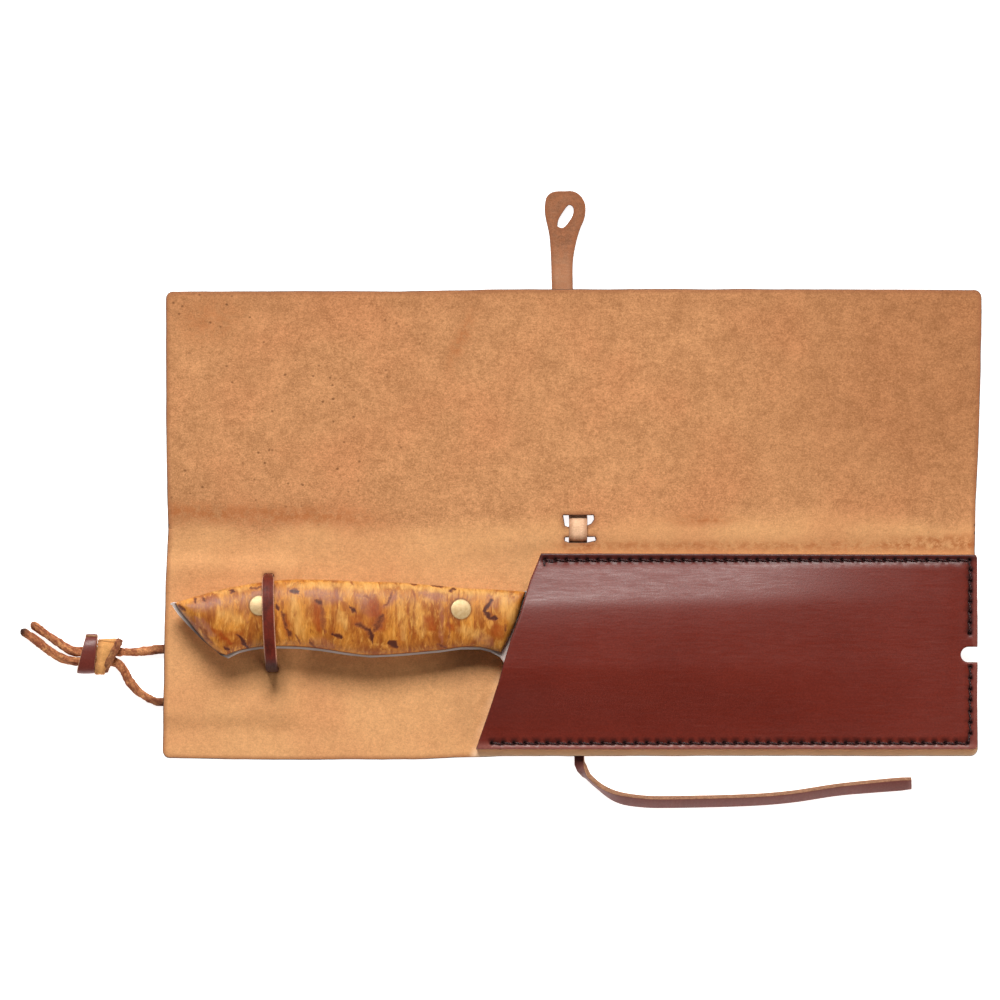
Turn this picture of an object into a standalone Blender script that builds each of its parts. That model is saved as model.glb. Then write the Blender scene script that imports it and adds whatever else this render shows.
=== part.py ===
"""Full-tang knife with burl scales, in the blade pocket of an open leather wrap.

The wrap lies open and flat on the table: Z is up, X runs along the knife with the butt at -X, and the flap
opens towards +Y. Lengths are in millimetres in the plan's own drawing axes; `place` turns them into metres
and centres the resting outline on the origin.
"""

import math

import bmesh
import bpy
import numpy as np
from mathutils import Matrix, Vector
from mathutils.geometry import delaunay_2d_cdt

# Whole plan
MM = 0.001
PLAN_SHIFT = (0.45, 0.8)
ANY_GAP = 0.1

# Leather wrap
LEATHER = 2.4
FOLD_GAP = 0.3
SPINE_FOLD_Y = -25.6
FLAP_FOLD_Y = -5.6
FOLD_Z = 4.4
LEFT_EDGE = [(-142.9, -40.0), (-142.0, -20.0), (-142.4, -9.0), (-142.7, 20.0)]
RIGHT_EDGE = [(143.0, -45.0), (142.0, -27.0), (142.4, -9.4), (143.6, 16.5), (144.4, 48.0)]
BOTTOM_LEFT = (-144.0, -100.3)
BOTTOM_EDGE = [(-105.0, -100.9), (-55.0, -100.7), (-25.0, -99.6), (60.0, -99.5)]
BOTTOM_RIGHT = (143.0, -99.5)
TOP_RIGHT = (144.4, 64.6)
TOP_EDGE = [(60.0, 64.9), (-22.0, 64.8), (-60.0, 64.2)]
TOP_LEFT = (-142.8, 64.1)
CORNER_RADIUS = 3.5

# The leather is lifted where the strap and the laces run behind it
STRAP_X = -0.5
STRAP_PLATEAU = 8.0
STRAP_FOOT = 14.0
STRAP_LIFT = 1.8
LACE_X = (-100.0, -93.0)
LACE_Y = (-90.0, -85.0, -33.0, -28.0)
LACE_LIFT = 2.2

# Blade pocket
WELT = 2.5
POCKET = 2.2
POCKET_TOP_Y = -28.6
POCKET_BOTTOM_Y = -97.05
POCKET_END_X = 142.7
MOUTH = [
    (-10.8, -28.6), (-12.1, -31.6), (-14.6, -37.6), (-16.4, -43.6), (-18.5, -50.6),
    (-21.3, -58.0), (-24.1, -67.5), (-25.5, -72.8), (-29.5, -85.0), (-33.7, -97.05),
]
WELT_WIDTH = 6.0
WELT_INSET = 0.2
NOTCH_Y = -63.8
NOTCH_HALF = 2.75
NOTCH_X = 136.9
DOME_Y = (-93.4, -83.4, -41.0, -32.4)
DOME_X = (131.8, 137.5)
BLADE_ROOM = 0.45
# The pocket sinks a little where the blade's ground side gets thin
WEDGE_DROP = 1.2
WEDGE_Y = (58.0, 82.0)
WEDGE_X = (-10.0, 6.0)

# Seam
THREAD_RADIUS = 0.45
THREAD_HOLE = 0.62
GROOVE_FLOOR = 0.75
GROOVE_TOP = 1.05
FACE_GROOVE = 0.8
BACK_GROOVE = 1.2
UPPER_SEAM = [(-8.3, -30.6), (140.2, -30.6), (140.2, -56.5)]
LOWER_SEAM = [(-27.6, -95.0), (140.2, -95.0), (140.2, -68.6)]

# Closure strap
STRAP_THICK = 1.5
STRAP_SLITS = [(2.5, -16.3, 10.6, 3.2), (2.5, -22.9, 10.6, 3.0)]
BRIDGE_X = 2.3
BRIDGE_WIDTH = 6.6
TAIL_WIDTH = 4.8
TAIL_THICK = 1.7
TAIL_ROUTE = [
    (2.8, -100.9, 1.0), (2.9, -102.2, 1.0), (4.9, -105.6, 1.0), (9.8, -110.2, 1.0), (16.2, -113.9, 1.0),
    (24.2, -115.4, 1.0), (34.7, -115.7, 1.0), (60.6, -115.1, 1.0), (76.8, -113.9, 1.0), (92.9, -111.5, 1.0),
    (105.0, -110.3, 1.0), (119.7, -109.1, 1.0),
]

# Handle lace and lanyard
LACE_WIDTH = 4.4
LACE_THICK = 1.9
LACE_SLITS = [(-106.5, -35.5, 5.2, 2.7), (-105.2, -69.3, 5.2, 2.7)]
LOOP_ROUTE = [
    (-69.3, 2.05), (-69.3, 8.0), (-69.0, 13.0), (-67.6, 17.0), (-64.5, 20.3), (-59.5, 22.4), (-52.0, 23.2),
    (-44.5, 22.8), (-39.0, 20.8), (-36.1, 17.0), (-35.4, 12.0), (-35.5, 7.0), (-35.5, 2.05),
]
RUN_WIDTH = 4.0
RUN_THICK = 1.8
RUN_A_ROUTE = [
    (-104.0, -35.5), (-110.0, -38.5), (-118.0, -47.0), (-128.0, -57.0), (-136.0, -61.3), (-145.3, -62.0),
]
RUN_B_ROUTE = [(-102.8, -69.3), (-109.0, -71.5), (-118.0, -77.0), (-130.0, -80.4), (-145.3, -80.6)]
STRAND_RADIUS = 1.55
STRAND_A_ROUTE = [
    (-145.8, -62.0, 1.7), (-149.0, -62.5, 1.75), (-153.5, -62.9, 2.4), (-157.5, -62.9, 3.6),
    (-161.0, -62.8, 4.1), (-166.0, -62.8, 4.1), (-171.0, -62.8, 4.1), (-175.4, -62.6, 4.0),
    (-179.0, -60.6, 3.2), (-183.5, -57.6, 2.1), (-187.0, -55.2, 1.7), (-190.2, -52.7, 1.7),
]
STRAND_B_ROUTE = [
    (-146.0, -80.5, 1.7), (-148.7, -79.3, 1.7), (-152.4, -76.8, 1.8), (-155.6, -73.2, 2.2),
    (-157.3, -69.9, 3.1), (-159.3, -67.2, 4.0), (-161.6, -66.3, 4.1), (-166.0, -66.3, 4.1),
    (-171.0, -66.3, 4.1), (-175.4, -66.1, 3.9), (-180.0, -64.8, 2.6), (-185.0, -61.6, 1.7),
    (-189.6, -58.0, 1.7), (-194.0, -55.2, 1.7),
]
SLEEVE_SQUARENESS = 2.6
WRAP_X = (-166.4, -160.9)
WRAP_CENTRE = (-64.55, 4.1)
WRAP_OUTER = (6.3, 3.6)
WRAP_INNER = (3.7, 1.9)
RING_X = (-171.5, -166.8)
RING_CENTRE = (-64.55, 4.1)
RING_OUTER = (6.9, 4.0)
RING_INNER = (3.9, 2.0)

# Knife, drawn flat about its middle plane, then laid in the pocket with its tip lowest
TIP = (131.5, -62.0, 3.4)
PITCH_SLOPE = 0.0425
STEEL = 3.0
EDGE_THICK = 0.35
POINT_THINNING = 1.9
THINNING_X = (60.0, 131.5)
GRIND_X = (-20.8, -12.0)
GRIND_LINE = 0.42
BORE_REACH = 12.0
BORE_SIDES = 32
KNIFE_TOP = [
    (-141.0, -45.6), (-136.5, -44.2), (-129.9, -42.3), (-120.7, -40.0), (-111.6, -38.4), (-102.3, -37.2),
    (-88.5, -37.1), (-74.7, -37.7), (-60.9, -38.1), (-47.1, -39.2), (-37.9, -40.1), (-28.7, -40.5),
    (-16.0, -41.3), (20.0, -41.5), (60.0, -42.6), (90.0, -45.4), (110.0, -49.8), (122.0, -54.6),
    (131.5, -62.0),
]
KNIFE_BOTTOM = [
    (-141.0, -46.1), (-139.2, -49.5), (-137.1, -52.4), (-134.3, -55.5), (-130.8, -58.9), (-127.2, -61.7),
    (-123.7, -64.0), (-120.9, -65.0), (-116.7, -63.2), (-113.2, -62.4), (-109.6, -61.9), (-102.6, -61.7),
    (-95.6, -61.9), (-88.5, -62.6), (-78.0, -64.2), (-70.9, -64.9), (-60.4, -64.4), (-46.3, -63.1),
    (-39.2, -62.1), (-32.2, -62.1), (-28.7, -62.9), (-25.2, -64.7), (-23.6, -67.0), (-22.6, -72.0),
    (-22.0, -79.5), (-20.8, -81.4), (-15.0, -81.8), (20.0, -82.2), (60.0, -81.2), (90.0, -77.6),
    (110.0, -72.6), (122.0, -68.0), (131.5, -62.4),
]
SCALE_BUTT = [
    (-139.6, -45.6), (-137.5, -48.1), (-134.3, -51.6), (-130.8, -55.9), (-127.2, -60.1), (-123.7, -62.9),
    (-121.6, -63.9),
]
SCALE_BOTTOM = [
    (-121.6, -63.9), (-116.7, -62.0), (-109.6, -60.8), (-102.6, -60.6), (-95.6, -60.8), (-88.5, -61.5),
    (-78.0, -63.1), (-70.9, -63.8), (-60.4, -63.3), (-46.3, -62.0), (-39.2, -61.0), (-32.2, -61.0),
    (-24.9, -63.1),
]
SCALE_TOP = [
    (-139.6, -45.6), (-129.9, -42.6), (-120.7, -40.3), (-111.6, -38.7), (-102.3, -37.5), (-88.5, -37.4),
    (-74.7, -38.0), (-60.9, -38.4), (-47.1, -39.5), (-37.9, -40.4), (-28.7, -40.8), (-16.4, -41.6),
]
SCALE_FRONT = [(-16.4, -41.6), (-19.5, -49.9), (-22.0, -56.2), (-24.9, -63.1)]
SCALE_HEIGHT = [(-140.0, 6.2), (-110.0, 6.6), (-70.0, 6.6), (-40.0, 5.6), (-16.0, 4.6)]
SCALE_EDGE = 0.8
SCALE_ROUNDING = 11.5
PIN_RADIUS = 3.5
PIN_HOLE = 3.6
FRONT_PIN = (-39.3, -47.7)
REAR_PIN = (-110.0, -46.4)


def place(x, y, z):
    """A point of the plan in metres."""
    return Vector(((x + PLAN_SHIFT[0]) * MM, (y + PLAN_SHIFT[1]) * MM, z * MM))


def clear_scene():
    for old in list(bpy.data.objects):
        bpy.data.objects.remove(old, do_unlink=True)


def make_material(name, color, roughness, metallic=0.0):
    material = bpy.data.materials.new(name)
    material.use_nodes = True
    shader = material.node_tree.nodes["Principled BSDF"]
    shader.inputs["Base Color"].default_value = (*color, 1.0)
    shader.inputs["Roughness"].default_value = roughness
    shader.inputs["Metallic"].default_value = metallic
    return material


def make_object(name, points, faces, material, origin=(0.0, 0.0, 0.0), smooth=False, matrix=None):
    """One closed mesh object from plan points, with its origin at a plan point."""
    mesh = bpy.data.meshes.new(name)
    at = place(*origin)
    placed = [place(*(matrix @ Vector(p) if matrix else p)) - at for p in points]
    mesh.from_pydata([tuple(p) for p in placed], [], faces)
    mesh.validate()
    work = bmesh.new()
    work.from_mesh(mesh)
    bmesh.ops.recalc_face_normals(work, faces=work.faces)
    work.to_mesh(mesh)
    work.free()
    for polygon in mesh.polygons:
        polygon.use_smooth = smooth
    mesh.materials.append(material)
    made = bpy.data.objects.new(name, mesh)
    made.location = at
    bpy.context.scene.collection.objects.link(made)
    return made


def ramp(value, low, high):
    return min(max((value - low) / (high - low), 0.0), 1.0)


def ease(value):
    return value * value * (3.0 - 2.0 * value)


def smooth_path(route, step):
    """Points along a Catmull-Rom curve through the route, about one step apart."""
    knots = [Vector(p) for p in route]
    knots = [2 * knots[0] - knots[1], *knots, 2 * knots[-1] - knots[-2]]
    out = []
    for a, b, c, d in zip(knots, knots[1:], knots[2:], knots[3:]):
        count = max(1, round((c - b).length / step))
        for i in range(count):
            t = i / count
            bend = (2 * a - 5 * b + 4 * c - d) * t**2 + (3 * b - a - 3 * c + d) * t**3
            out.append(0.5 * (2 * b + (c - a) * t + bend))
    out.append(knots[-2])
    return out


def inside(x, y, loop):
    """True when the point lies inside the closed polygon."""
    found = False
    for (x0, y0), (x1, y1) in zip(loop, loop[1:] + loop[:1]):
        if (y0 > y) != (y1 > y) and x < (x1 - x0) * (y - y0) / (y1 - y0) + x0:
            found = not found
    return found


def round_corner(before, corner, after, radius, count=5):
    """The points of an arc that rounds one corner of a polygon."""
    corner = Vector(corner)
    to_before = (Vector(before) - corner).normalized()
    to_after = (Vector(after) - corner).normalized()
    half = to_before.angle(to_after) / 2
    reach = radius / math.tan(half)
    centre = corner + (to_before + to_after).normalized() * radius / math.sin(half)
    start = corner + to_before * reach - centre
    end = corner + to_after * reach - centre
    turn = start.angle(end)
    found = []
    for i in range(count + 1):
        share = i / count
        mixed = start * math.sin((1 - share) * turn) + end * math.sin(share * turn)
        found.append(tuple(centre + mixed / math.sin(turn)))
    return found


def strap_rise(x):
    return STRAP_LIFT * (1.0 - ramp(abs(x - STRAP_X), STRAP_PLATEAU, STRAP_FOOT))


def lace_rise(x, y):
    along = 1.0 - ramp(x, *LACE_X)
    across = ramp(y, LACE_Y[0], LACE_Y[1]) * (1.0 - ramp(y, LACE_Y[2], LACE_Y[3]))
    return LACE_LIFT * along * across


def rise(x, y):
    """How far the leather is lifted over the strap and the laces."""
    return max(strap_rise(x), lace_rise(x, y))


def strap_creases():
    found = []
    for offset in (-STRAP_FOOT, -STRAP_PLATEAU, STRAP_PLATEAU, STRAP_FOOT):
        found.append([(STRAP_X + offset, -130.0), (STRAP_X + offset, 90.0)])
    return found


def lace_creases():
    found = [[(x, -130.0), (x, 90.0)] for x in LACE_X]
    for y in LACE_Y:
        found.append([(-160.0, y), (LACE_X[1], y)])
    return found


def around(path, reach):
    """The closed outline at one distance from an open path of straight stretches."""
    sides = []
    for sign in (1.0, -1.0):
        side = []
        for i, point in enumerate(path):
            here = Vector(point)
            back = (here - Vector(path[i - 1])).normalized() if i else None
            ahead = (Vector(path[i + 1]) - here).normalized() if i + 1 < len(path) else None
            back = back or ahead
            ahead = ahead or back
            push = Vector((-(back.y + ahead.y), back.x + ahead.x))
            push = push.normalized() / math.cos(back.angle(ahead) / 2)
            end = (-ahead if i == 0 else back if i + 1 == len(path) else Vector((0.0, 0.0))) * reach
            side.append(tuple(here + sign * push * reach + end))
        sides.append(side)
    return sides[0] + sides[1][::-1]


def groove_depth(x, y, seams, depth):
    middle = (GROOVE_FLOOR + GROOVE_TOP) / 2
    return depth if any(inside(x, y, around(seam, middle)) for seam in seams) else 0.0


def groove_creases(seams):
    found = []
    for seam in seams:
        for reach in (GROOVE_FLOOR, GROOVE_TOP):
            loop = around(seam, reach)
            found.append(loop + loop[:1])
    return found


def thread_holes():
    """Small eight-sided holes at both ends of each seam."""
    found = []
    for seam in (UPPER_SEAM, LOWER_SEAM):
        for x, y in (seam[0], seam[-1]):
            turn = [math.radians(22.5 + 45 * i) for i in range(8)]
            found.append([(x + THREAD_HOLE * math.cos(a), y + THREAD_HOLE * math.sin(a)) for a in turn])
    return found


def slit(x, y, width, height):
    return [
        (x - width / 2, y - height / 2),
        (x + width / 2, y - height / 2),
        (x + width / 2, y + height / 2),
        (x - width / 2, y + height / 2),
    ]


def plate(name, outline, top, bottom, material, holes=(), creases=(), origin=(0.0, 0.0, 0.0), smooth=False):
    """A leather piece cut to an outline, with holes, whose two faces follow the functions top and bottom."""
    points, edges = [], []
    for line in [list(outline) + [outline[0]], *[list(h) + [h[0]] for h in holes], *creases]:
        closed = line[0] == line[-1]
        kept = line[:-1] if closed else line
        first = len(points)
        points.extend(Vector(p) for p in kept)
        edges.extend((first + i, first + i + 1) for i in range(len(kept) - 1))
        if closed:
            edges.append((len(points) - 1, first))
    flat, _, triangles, *_ = delaunay_2d_cdt(points, edges, [], 0, 1e-5)
    used = []
    for triangle in triangles:
        x = sum(flat[i].x for i in triangle) / 3
        y = sum(flat[i].y for i in triangle) / 3
        if inside(x, y, outline) and not any(inside(x, y, hole) for hole in holes):
            used.append(tuple(triangle))
    return plate_mesh(name, flat, used, top, bottom, material, origin, smooth)


def plate_mesh(name, flat, used, top, bottom, material, origin, smooth):
    """Joins the two faces of a plate with walls along every free edge."""
    kept = sorted({i for triangle in used for i in triangle})
    index = {old: new for new, old in enumerate(kept)}
    count = len(kept)
    points = [(flat[i].x, flat[i].y, top(flat[i].x, flat[i].y)) for i in kept]
    points += [(flat[i].x, flat[i].y, bottom(flat[i].x, flat[i].y)) for i in kept]
    faces, seen = [], {}
    for triangle in used:
        a, b, c = (index[i] for i in triangle)
        faces.append((a, b, c))
        faces.append((c + count, b + count, a + count))
        for edge in ((a, b), (b, c), (c, a)):
            seen[edge] = True
    for a, b in seen:
        if (b, a) not in seen:
            faces.append((b, a, a + count, b + count))
    return make_object(name, points, faces, material, origin, smooth)


def panel_top(x, y):
    return LEATHER + rise(x, y)


def base_underside(x, y):
    return rise(x, y) + groove_depth(x, y, (UPPER_SEAM, LOWER_SEAM), BACK_GROOVE)


def notch(edge_x):
    """The U cut into the closed end, listed from its lower corner to its upper one."""
    centre = NOTCH_X + NOTCH_HALF
    turn = [math.radians(270 - 22.5 * i) for i in range(9)]
    curve = [(centre + NOTCH_HALF * math.cos(a), NOTCH_Y + NOTCH_HALF * math.sin(a)) for a in turn]
    return [(edge_x, NOTCH_Y - NOTCH_HALF), *curve, (edge_x, NOTCH_Y + NOTCH_HALF)]


def edge_at(edge, y):
    return float(np.interp(y, [p[1] for p in edge], [p[0] for p in edge]))


def make_base_panel(material):
    fold = SPINE_FOLD_Y - FOLD_GAP / 2
    outline = round_corner(LEFT_EDGE[0], BOTTOM_LEFT, BOTTOM_EDGE[0], CORNER_RADIUS)
    outline += BOTTOM_EDGE
    outline += round_corner(BOTTOM_EDGE[-1], BOTTOM_RIGHT, RIGHT_EDGE[0], CORNER_RADIUS)
    outline += notch(BOTTOM_RIGHT[0])
    outline += [RIGHT_EDGE[0], (RIGHT_EDGE[1][0], fold), (edge_at(LEFT_EDGE, fold), fold), LEFT_EDGE[0]]
    holes = thread_holes() + [slit(*box) for box in LACE_SLITS]
    creases = strap_creases() + lace_creases() + groove_creases((UPPER_SEAM, LOWER_SEAM))
    plate("base_panel", outline, panel_top, base_underside, material, holes, creases)


def make_spine_panel(material):
    low = SPINE_FOLD_Y + FOLD_GAP / 2
    high = FLAP_FOLD_Y - FOLD_GAP / 2
    outline = [(edge_at(LEFT_EDGE, low), low), (edge_at(RIGHT_EDGE, low), low)]
    outline += [(edge_at(RIGHT_EDGE, high), high), (edge_at(LEFT_EDGE, high), high), LEFT_EDGE[1]]
    holes = [slit(*box) for box in STRAP_SLITS]
    origin = (0.0, SPINE_FOLD_Y, FOLD_Z)
    plate("spine_panel", outline, panel_top, rise, material, holes, strap_creases(), origin)


def make_flap_panel(material):
    low = FLAP_FOLD_Y + FOLD_GAP / 2
    outline = [(edge_at(LEFT_EDGE, low), low), (edge_at(RIGHT_EDGE, low), low), *RIGHT_EDGE[3:]]
    outline += round_corner(RIGHT_EDGE[-1], TOP_RIGHT, TOP_EDGE[0], CORNER_RADIUS)
    outline += TOP_EDGE
    outline += round_corner(TOP_EDGE[-1], TOP_LEFT, LEFT_EDGE[-1], CORNER_RADIUS)
    outline += [LEFT_EDGE[-1]]
    plate("flap_panel", outline, panel_top, rise, material, (), strap_creases(), (0.0, FLAP_FOLD_Y, FOLD_Z))


def knife_middle(x):
    """Height of the knife's middle plane when it lies in the pocket."""
    return TIP[2] + PITCH_SLOPE * (TIP[0] - x)


def dome_share(x, y):
    across = ease(ramp(y, DOME_Y[0], DOME_Y[1])) * ease(1.0 - ramp(y, DOME_Y[2], DOME_Y[3]))
    return across * (1.0 - ramp(x, *DOME_X))


def pocket_underside(x, y):
    seam_level = LEATHER + WELT + 2 * ANY_GAP
    wedge = WEDGE_DROP * ramp(-y, *WEDGE_Y) * ramp(x, *WEDGE_X)
    above_blade = knife_middle(x) + STEEL / 2 + BLADE_ROOM - wedge
    share = dome_share(x, y)
    return (1.0 - share) * (seam_level + rise(x, y)) + share * max(above_blade, seam_level)


def pocket_face(x, y):
    return pocket_underside(x, y) + POCKET - groove_depth(x, y, (UPPER_SEAM, LOWER_SEAM), FACE_GROOVE)


def dome_creases():
    """A net of lines that lets the pocket front bulge smoothly over the blade."""
    found = []
    for x in (-24.0, -4.0, 3.0, 24.0, 38.0, 54.0, 70.0, 86.0, 102.0, 118.0, *DOME_X):
        found.append([(x, -93.6), (x, -32.2)])
    steps = [DOME_Y[0] + 2.0 * i for i in range(6)]
    steps += [DOME_Y[2] + 1.72 * i for i in range(6)]
    steps += [-48.0, -58.0, -66.0, -74.0]
    for y in steps:
        found.append([(-40.0, y), (138.5, y)])
    return found


def make_pocket_front(material):
    outline = [MOUTH[-1]]
    outline += round_corner(MOUTH[-1], (POCKET_END_X, POCKET_BOTTOM_Y), (POCKET_END_X, NOTCH_Y), 1.5, 3)
    outline += notch(POCKET_END_X)
    outline += round_corner((POCKET_END_X, NOTCH_Y), (POCKET_END_X, POCKET_TOP_Y), MOUTH[0], 1.5, 3)
    outline += MOUTH[:-1]
    creases = strap_creases() + groove_creases((UPPER_SEAM, LOWER_SEAM)) + dome_creases()
    holes = thread_holes()
    plate("pocket_front", outline, pocket_face, pocket_underside, material, holes, creases, smooth=True)


def welt_top_face(x, y):
    return LEATHER + ANY_GAP + WELT + rise(x, y)


def welt_underside(x, y):
    return LEATHER + ANY_GAP + rise(x, y)


def make_welts(material):
    """The three spacer strips between the panel and the pocket front."""
    high = POCKET_TOP_Y - WELT_INSET
    low = POCKET_BOTTOM_Y + WELT_INSET
    end = POCKET_END_X - WELT_INSET
    inner_high = high - WELT_WIDTH
    inner_low = low + WELT_WIDTH
    top = [(-11.0, high), (-13.4, inner_high), (end, inner_high), (end, high)]
    bottom = [(-33.5, low), (end, low), (end, inner_low), (-31.4, inner_low)]
    inner_x = NOTCH_X - 3.0
    side = [(inner_x, inner_low + WELT_INSET), (end, inner_low + WELT_INSET), *notch(end)]
    side += [(end, inner_high - WELT_INSET), (inner_x, inner_high - WELT_INSET)]
    for name, outline in (("welt_top", top), ("welt_bottom", bottom), ("welt_end", side)):
        holes = [h for h in thread_holes() if inside(h[0][0], h[0][1], outline)]
        plate(name, outline, welt_top_face, welt_underside, material, holes, strap_creases())


def ring_faces(rings, sides, closed):
    """Faces that join consecutive rings of points, with end caps when the sweep is open."""
    faces = []
    for i in range(rings if closed else rings - 1):
        for j in range(sides):
            a = i * sides + j
            b = i * sides + (j + 1) % sides
            c = (i + 1) % rings * sides + (j + 1) % sides
            d = (i + 1) % rings * sides + j
            faces.append((a, b, c, d))
    if not closed:
        faces.append(tuple(range(sides))[::-1])
        faces.append(tuple((rings - 1) * sides + j for j in range(sides)))
    return faces


def make_thread(name, seam, material):
    """One closed strand: along the face's groove, down a hole, back along the underside and up again."""
    inset = ANY_GAP + THREAD_RADIUS
    face, back = [], []
    bends = [STRAP_X + o for o in (-STRAP_FOOT, -STRAP_PLATEAU, STRAP_PLATEAU, STRAP_FOOT)]
    row = sorted([seam[0][0], *[x for x in bends if x > seam[0][0] + 1.0], seam[1][0]])
    for x, y in [(x, seam[0][1]) for x in row] + [seam[2]]:
        seat = LEATHER + WELT + 2 * ANY_GAP + POCKET - FACE_GROOVE
        face.append(Vector((x, y, seat + rise(x, y) + inset)))
        back.append(Vector((x, y, rise(x, y) + inset + 0.05)))
    path = face + back[::-1]
    count = len(path)
    points = []
    for i, here in enumerate(path):
        come = (here - path[i - 1]).normalized()
        go = (path[(i + 1) % count] - here).normalized()
        along = (come + go).normalized()
        side = come.cross(go)
        side = side.normalized() if side.length > 1e-3 else along.cross(Vector((0.0, 0.0, 1.0))).normalized()
        other = along.cross(side).normalized() / math.cos(come.angle(go) / 2)
        across = Vector((0.0, 1.0, 0.0)) if abs(along.x) > 0.3 and abs(along.y) < 0.3 else None
        if across and abs(side.dot(across)) < 0.9:
            side, other = other, side
        points.append((here, along, side, other))
    make_thread_mesh(name, points, material)


def make_thread_mesh(name, frames, material, sides=8):
    """Sweeps a round section along mitred frames without letting it twist."""
    rings, previous = [], None
    for here, along, side, other in frames:
        ring = []
        for j in range(sides):
            turn = 2 * math.pi * j / sides
            ring.append(here + THREAD_RADIUS * (math.cos(turn) * side + math.sin(turn) * other))
        if previous:
            ring = untwist(ring, previous)
        rings.append(ring)
        previous = ring
    points = [tuple(p) for ring in rings for p in ring]
    faces = ring_faces(len(rings), sides, False)[:-2]
    last = untwist_order(rings[0], rings[-1])
    start = (len(rings) - 1) * sides
    for j in range(sides):
        faces.append((start + j, start + (j + 1) % sides, last[(j + 1) % sides], last[j]))
    make_object(name, points, faces, material, smooth=True)


def untwist_order(ring, previous):
    """The order of one ring's points that matches the previous ring best, allowing for both directions."""
    count = len(ring)
    best = None
    for step in (1, -1):
        for shift in range(count):
            order = [(shift + step * j) % count for j in range(count)]
            far = sum((ring[order[j]] - previous[j]).length for j in range(count))
            if best is None or far < best[0]:
                best = (far, order)
    return best[1]


def untwist(ring, previous):
    return [ring[j] for j in untwist_order(ring, previous)]


def capsule(centre, length, width, angle, count=6):
    """A slot with round ends."""
    found = []
    for end in (1, -1):
        for i in range(count + 1):
            turn = math.radians(-90 + 180 * i / count) + (0 if end == 1 else math.pi)
            x = end * (length - width) / 2 + width / 2 * math.cos(turn)
            y = width / 2 * math.sin(turn)
            c, s = math.cos(angle), math.sin(angle)
            found.append((centre[0] + c * x - s * y, centre[1] + s * x + c * y))
    return found


def strap_face(x, y):
    return ANY_GAP + STRAP_THICK


def strap_underside(x, y):
    return ANY_GAP


def make_strap_tab(material):
    """The slotted tab beyond the flap's edge, and the strap that runs from it behind the flap."""
    low = FLAP_FOLD_Y + FOLD_GAP / 2
    outline = [
        (-1.5, low), (5.5, low), (0.6, 64.0), (0.4, 74.0), (1.1, 79.0), (2.3, 85.0), (4.3, 89.5),
        (5.0, 92.7), (4.5, 95.8), (2.6, 98.2), (-0.3, 99.3), (-3.5, 99.3), (-6.6, 98.3), (-8.8, 96.0),
        (-9.4, 92.7), (-9.0, 89.5), (-8.0, 85.0), (-7.5, 79.0), (-7.2, 74.0), (-7.0, 64.0),
    ]
    slot = capsule((-1.7, 90.4), 7.7, 2.6, math.radians(60))
    origin = (0.0, FLAP_FOLD_Y, FOLD_Z)
    plate("strap_tab", outline, strap_face, strap_underside, material, [slot], (), origin)


def make_strap_run(material):
    high = SPINE_FOLD_Y - FOLD_GAP / 2
    half = BRIDGE_WIDTH / 2
    outline = [(BRIDGE_X - half, high), (0.3, -100.3), (5.3, -100.3), (BRIDGE_X + half, high)]
    plate("strap_run", outline[::-1], strap_face, strap_underside, material)


def band(name, route, width, thickness, centre_x, material, origin=(0.0, 0.0, 0.0), step=1.5):
    """A flat strap that follows a route in the YZ plane, centre_x giving its X at each Y."""
    path = smooth_path([(y, z) for y, z in route], step)
    half, edge = width / 2, min(0.4, thickness / 4)
    section = [
        (-half, -thickness / 2 + edge), (-half + edge, -thickness / 2), (half - edge, -thickness / 2),
        (half, -thickness / 2 + edge), (half, thickness / 2 - edge), (half - edge, thickness / 2),
        (-half + edge, thickness / 2), (-half, thickness / 2 - edge),
    ]
    points = []
    for i, here in enumerate(path):
        come = (here - path[i - 1]).normalized() if i else (path[1] - here).normalized()
        go = (path[i + 1] - here).normalized() if i + 1 < len(path) else come
        out = Vector((-(come.y + go.y), come.x + go.x)).normalized() / math.cos(come.angle(go, 0.0) / 2)
        for across, up in section:
            y, z = here + out * up
            points.append((centre_x(y) + across, y, z))
    faces = ring_faces(len(path), len(section), False)
    make_object(name, points, faces, material, origin, smooth=False)


def make_strap_bridge(material):
    """The strap behind the spine, up through one slit, over the inside face and down through the other."""
    high = FLAP_FOLD_Y - FOLD_GAP / 2
    low = SPINE_FOLD_Y + FOLD_GAP / 2
    level = ANY_GAP + STRAP_THICK / 2
    over = LEATHER + STRAP_LIFT + STRAP_THICK / 2 + 0.15
    upper = STRAP_SLITS[0][1]
    lower = STRAP_SLITS[1][1]
    route = [(high, level), (high - 5.0, level), (upper + 2.4, level), (upper + 0.8, level + 0.5)]
    route += [(upper + 0.1, level + 1.7), (upper - 0.1, over - 1.2), (upper - 1.4, over)]
    route += [(lower + 1.4, over), (lower + 0.1, over - 1.2), (lower - 0.1, level + 1.7)]
    route += [(lower - 0.6, level + 0.5), (lower - 1.5, level), (low, level)]
    origin = (0.0, SPINE_FOLD_Y, FOLD_Z)
    band("strap_bridge", route, BRIDGE_WIDTH, STRAP_THICK, lambda y: BRIDGE_X, material, origin, 0.9)


def make_handle_loop(material):
    """The lace that goes up one slit, over the handle and down the other."""
    (x_high, y_high, _, _), (x_low, y_low, _, _) = LACE_SLITS

    def centre(y):
        return x_low + (x_high - x_low) * ramp(y, y_low, y_high)

    band("handle_loop", LOOP_ROUTE, LACE_WIDTH, LACE_THICK, centre, material, step=2.4)


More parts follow.
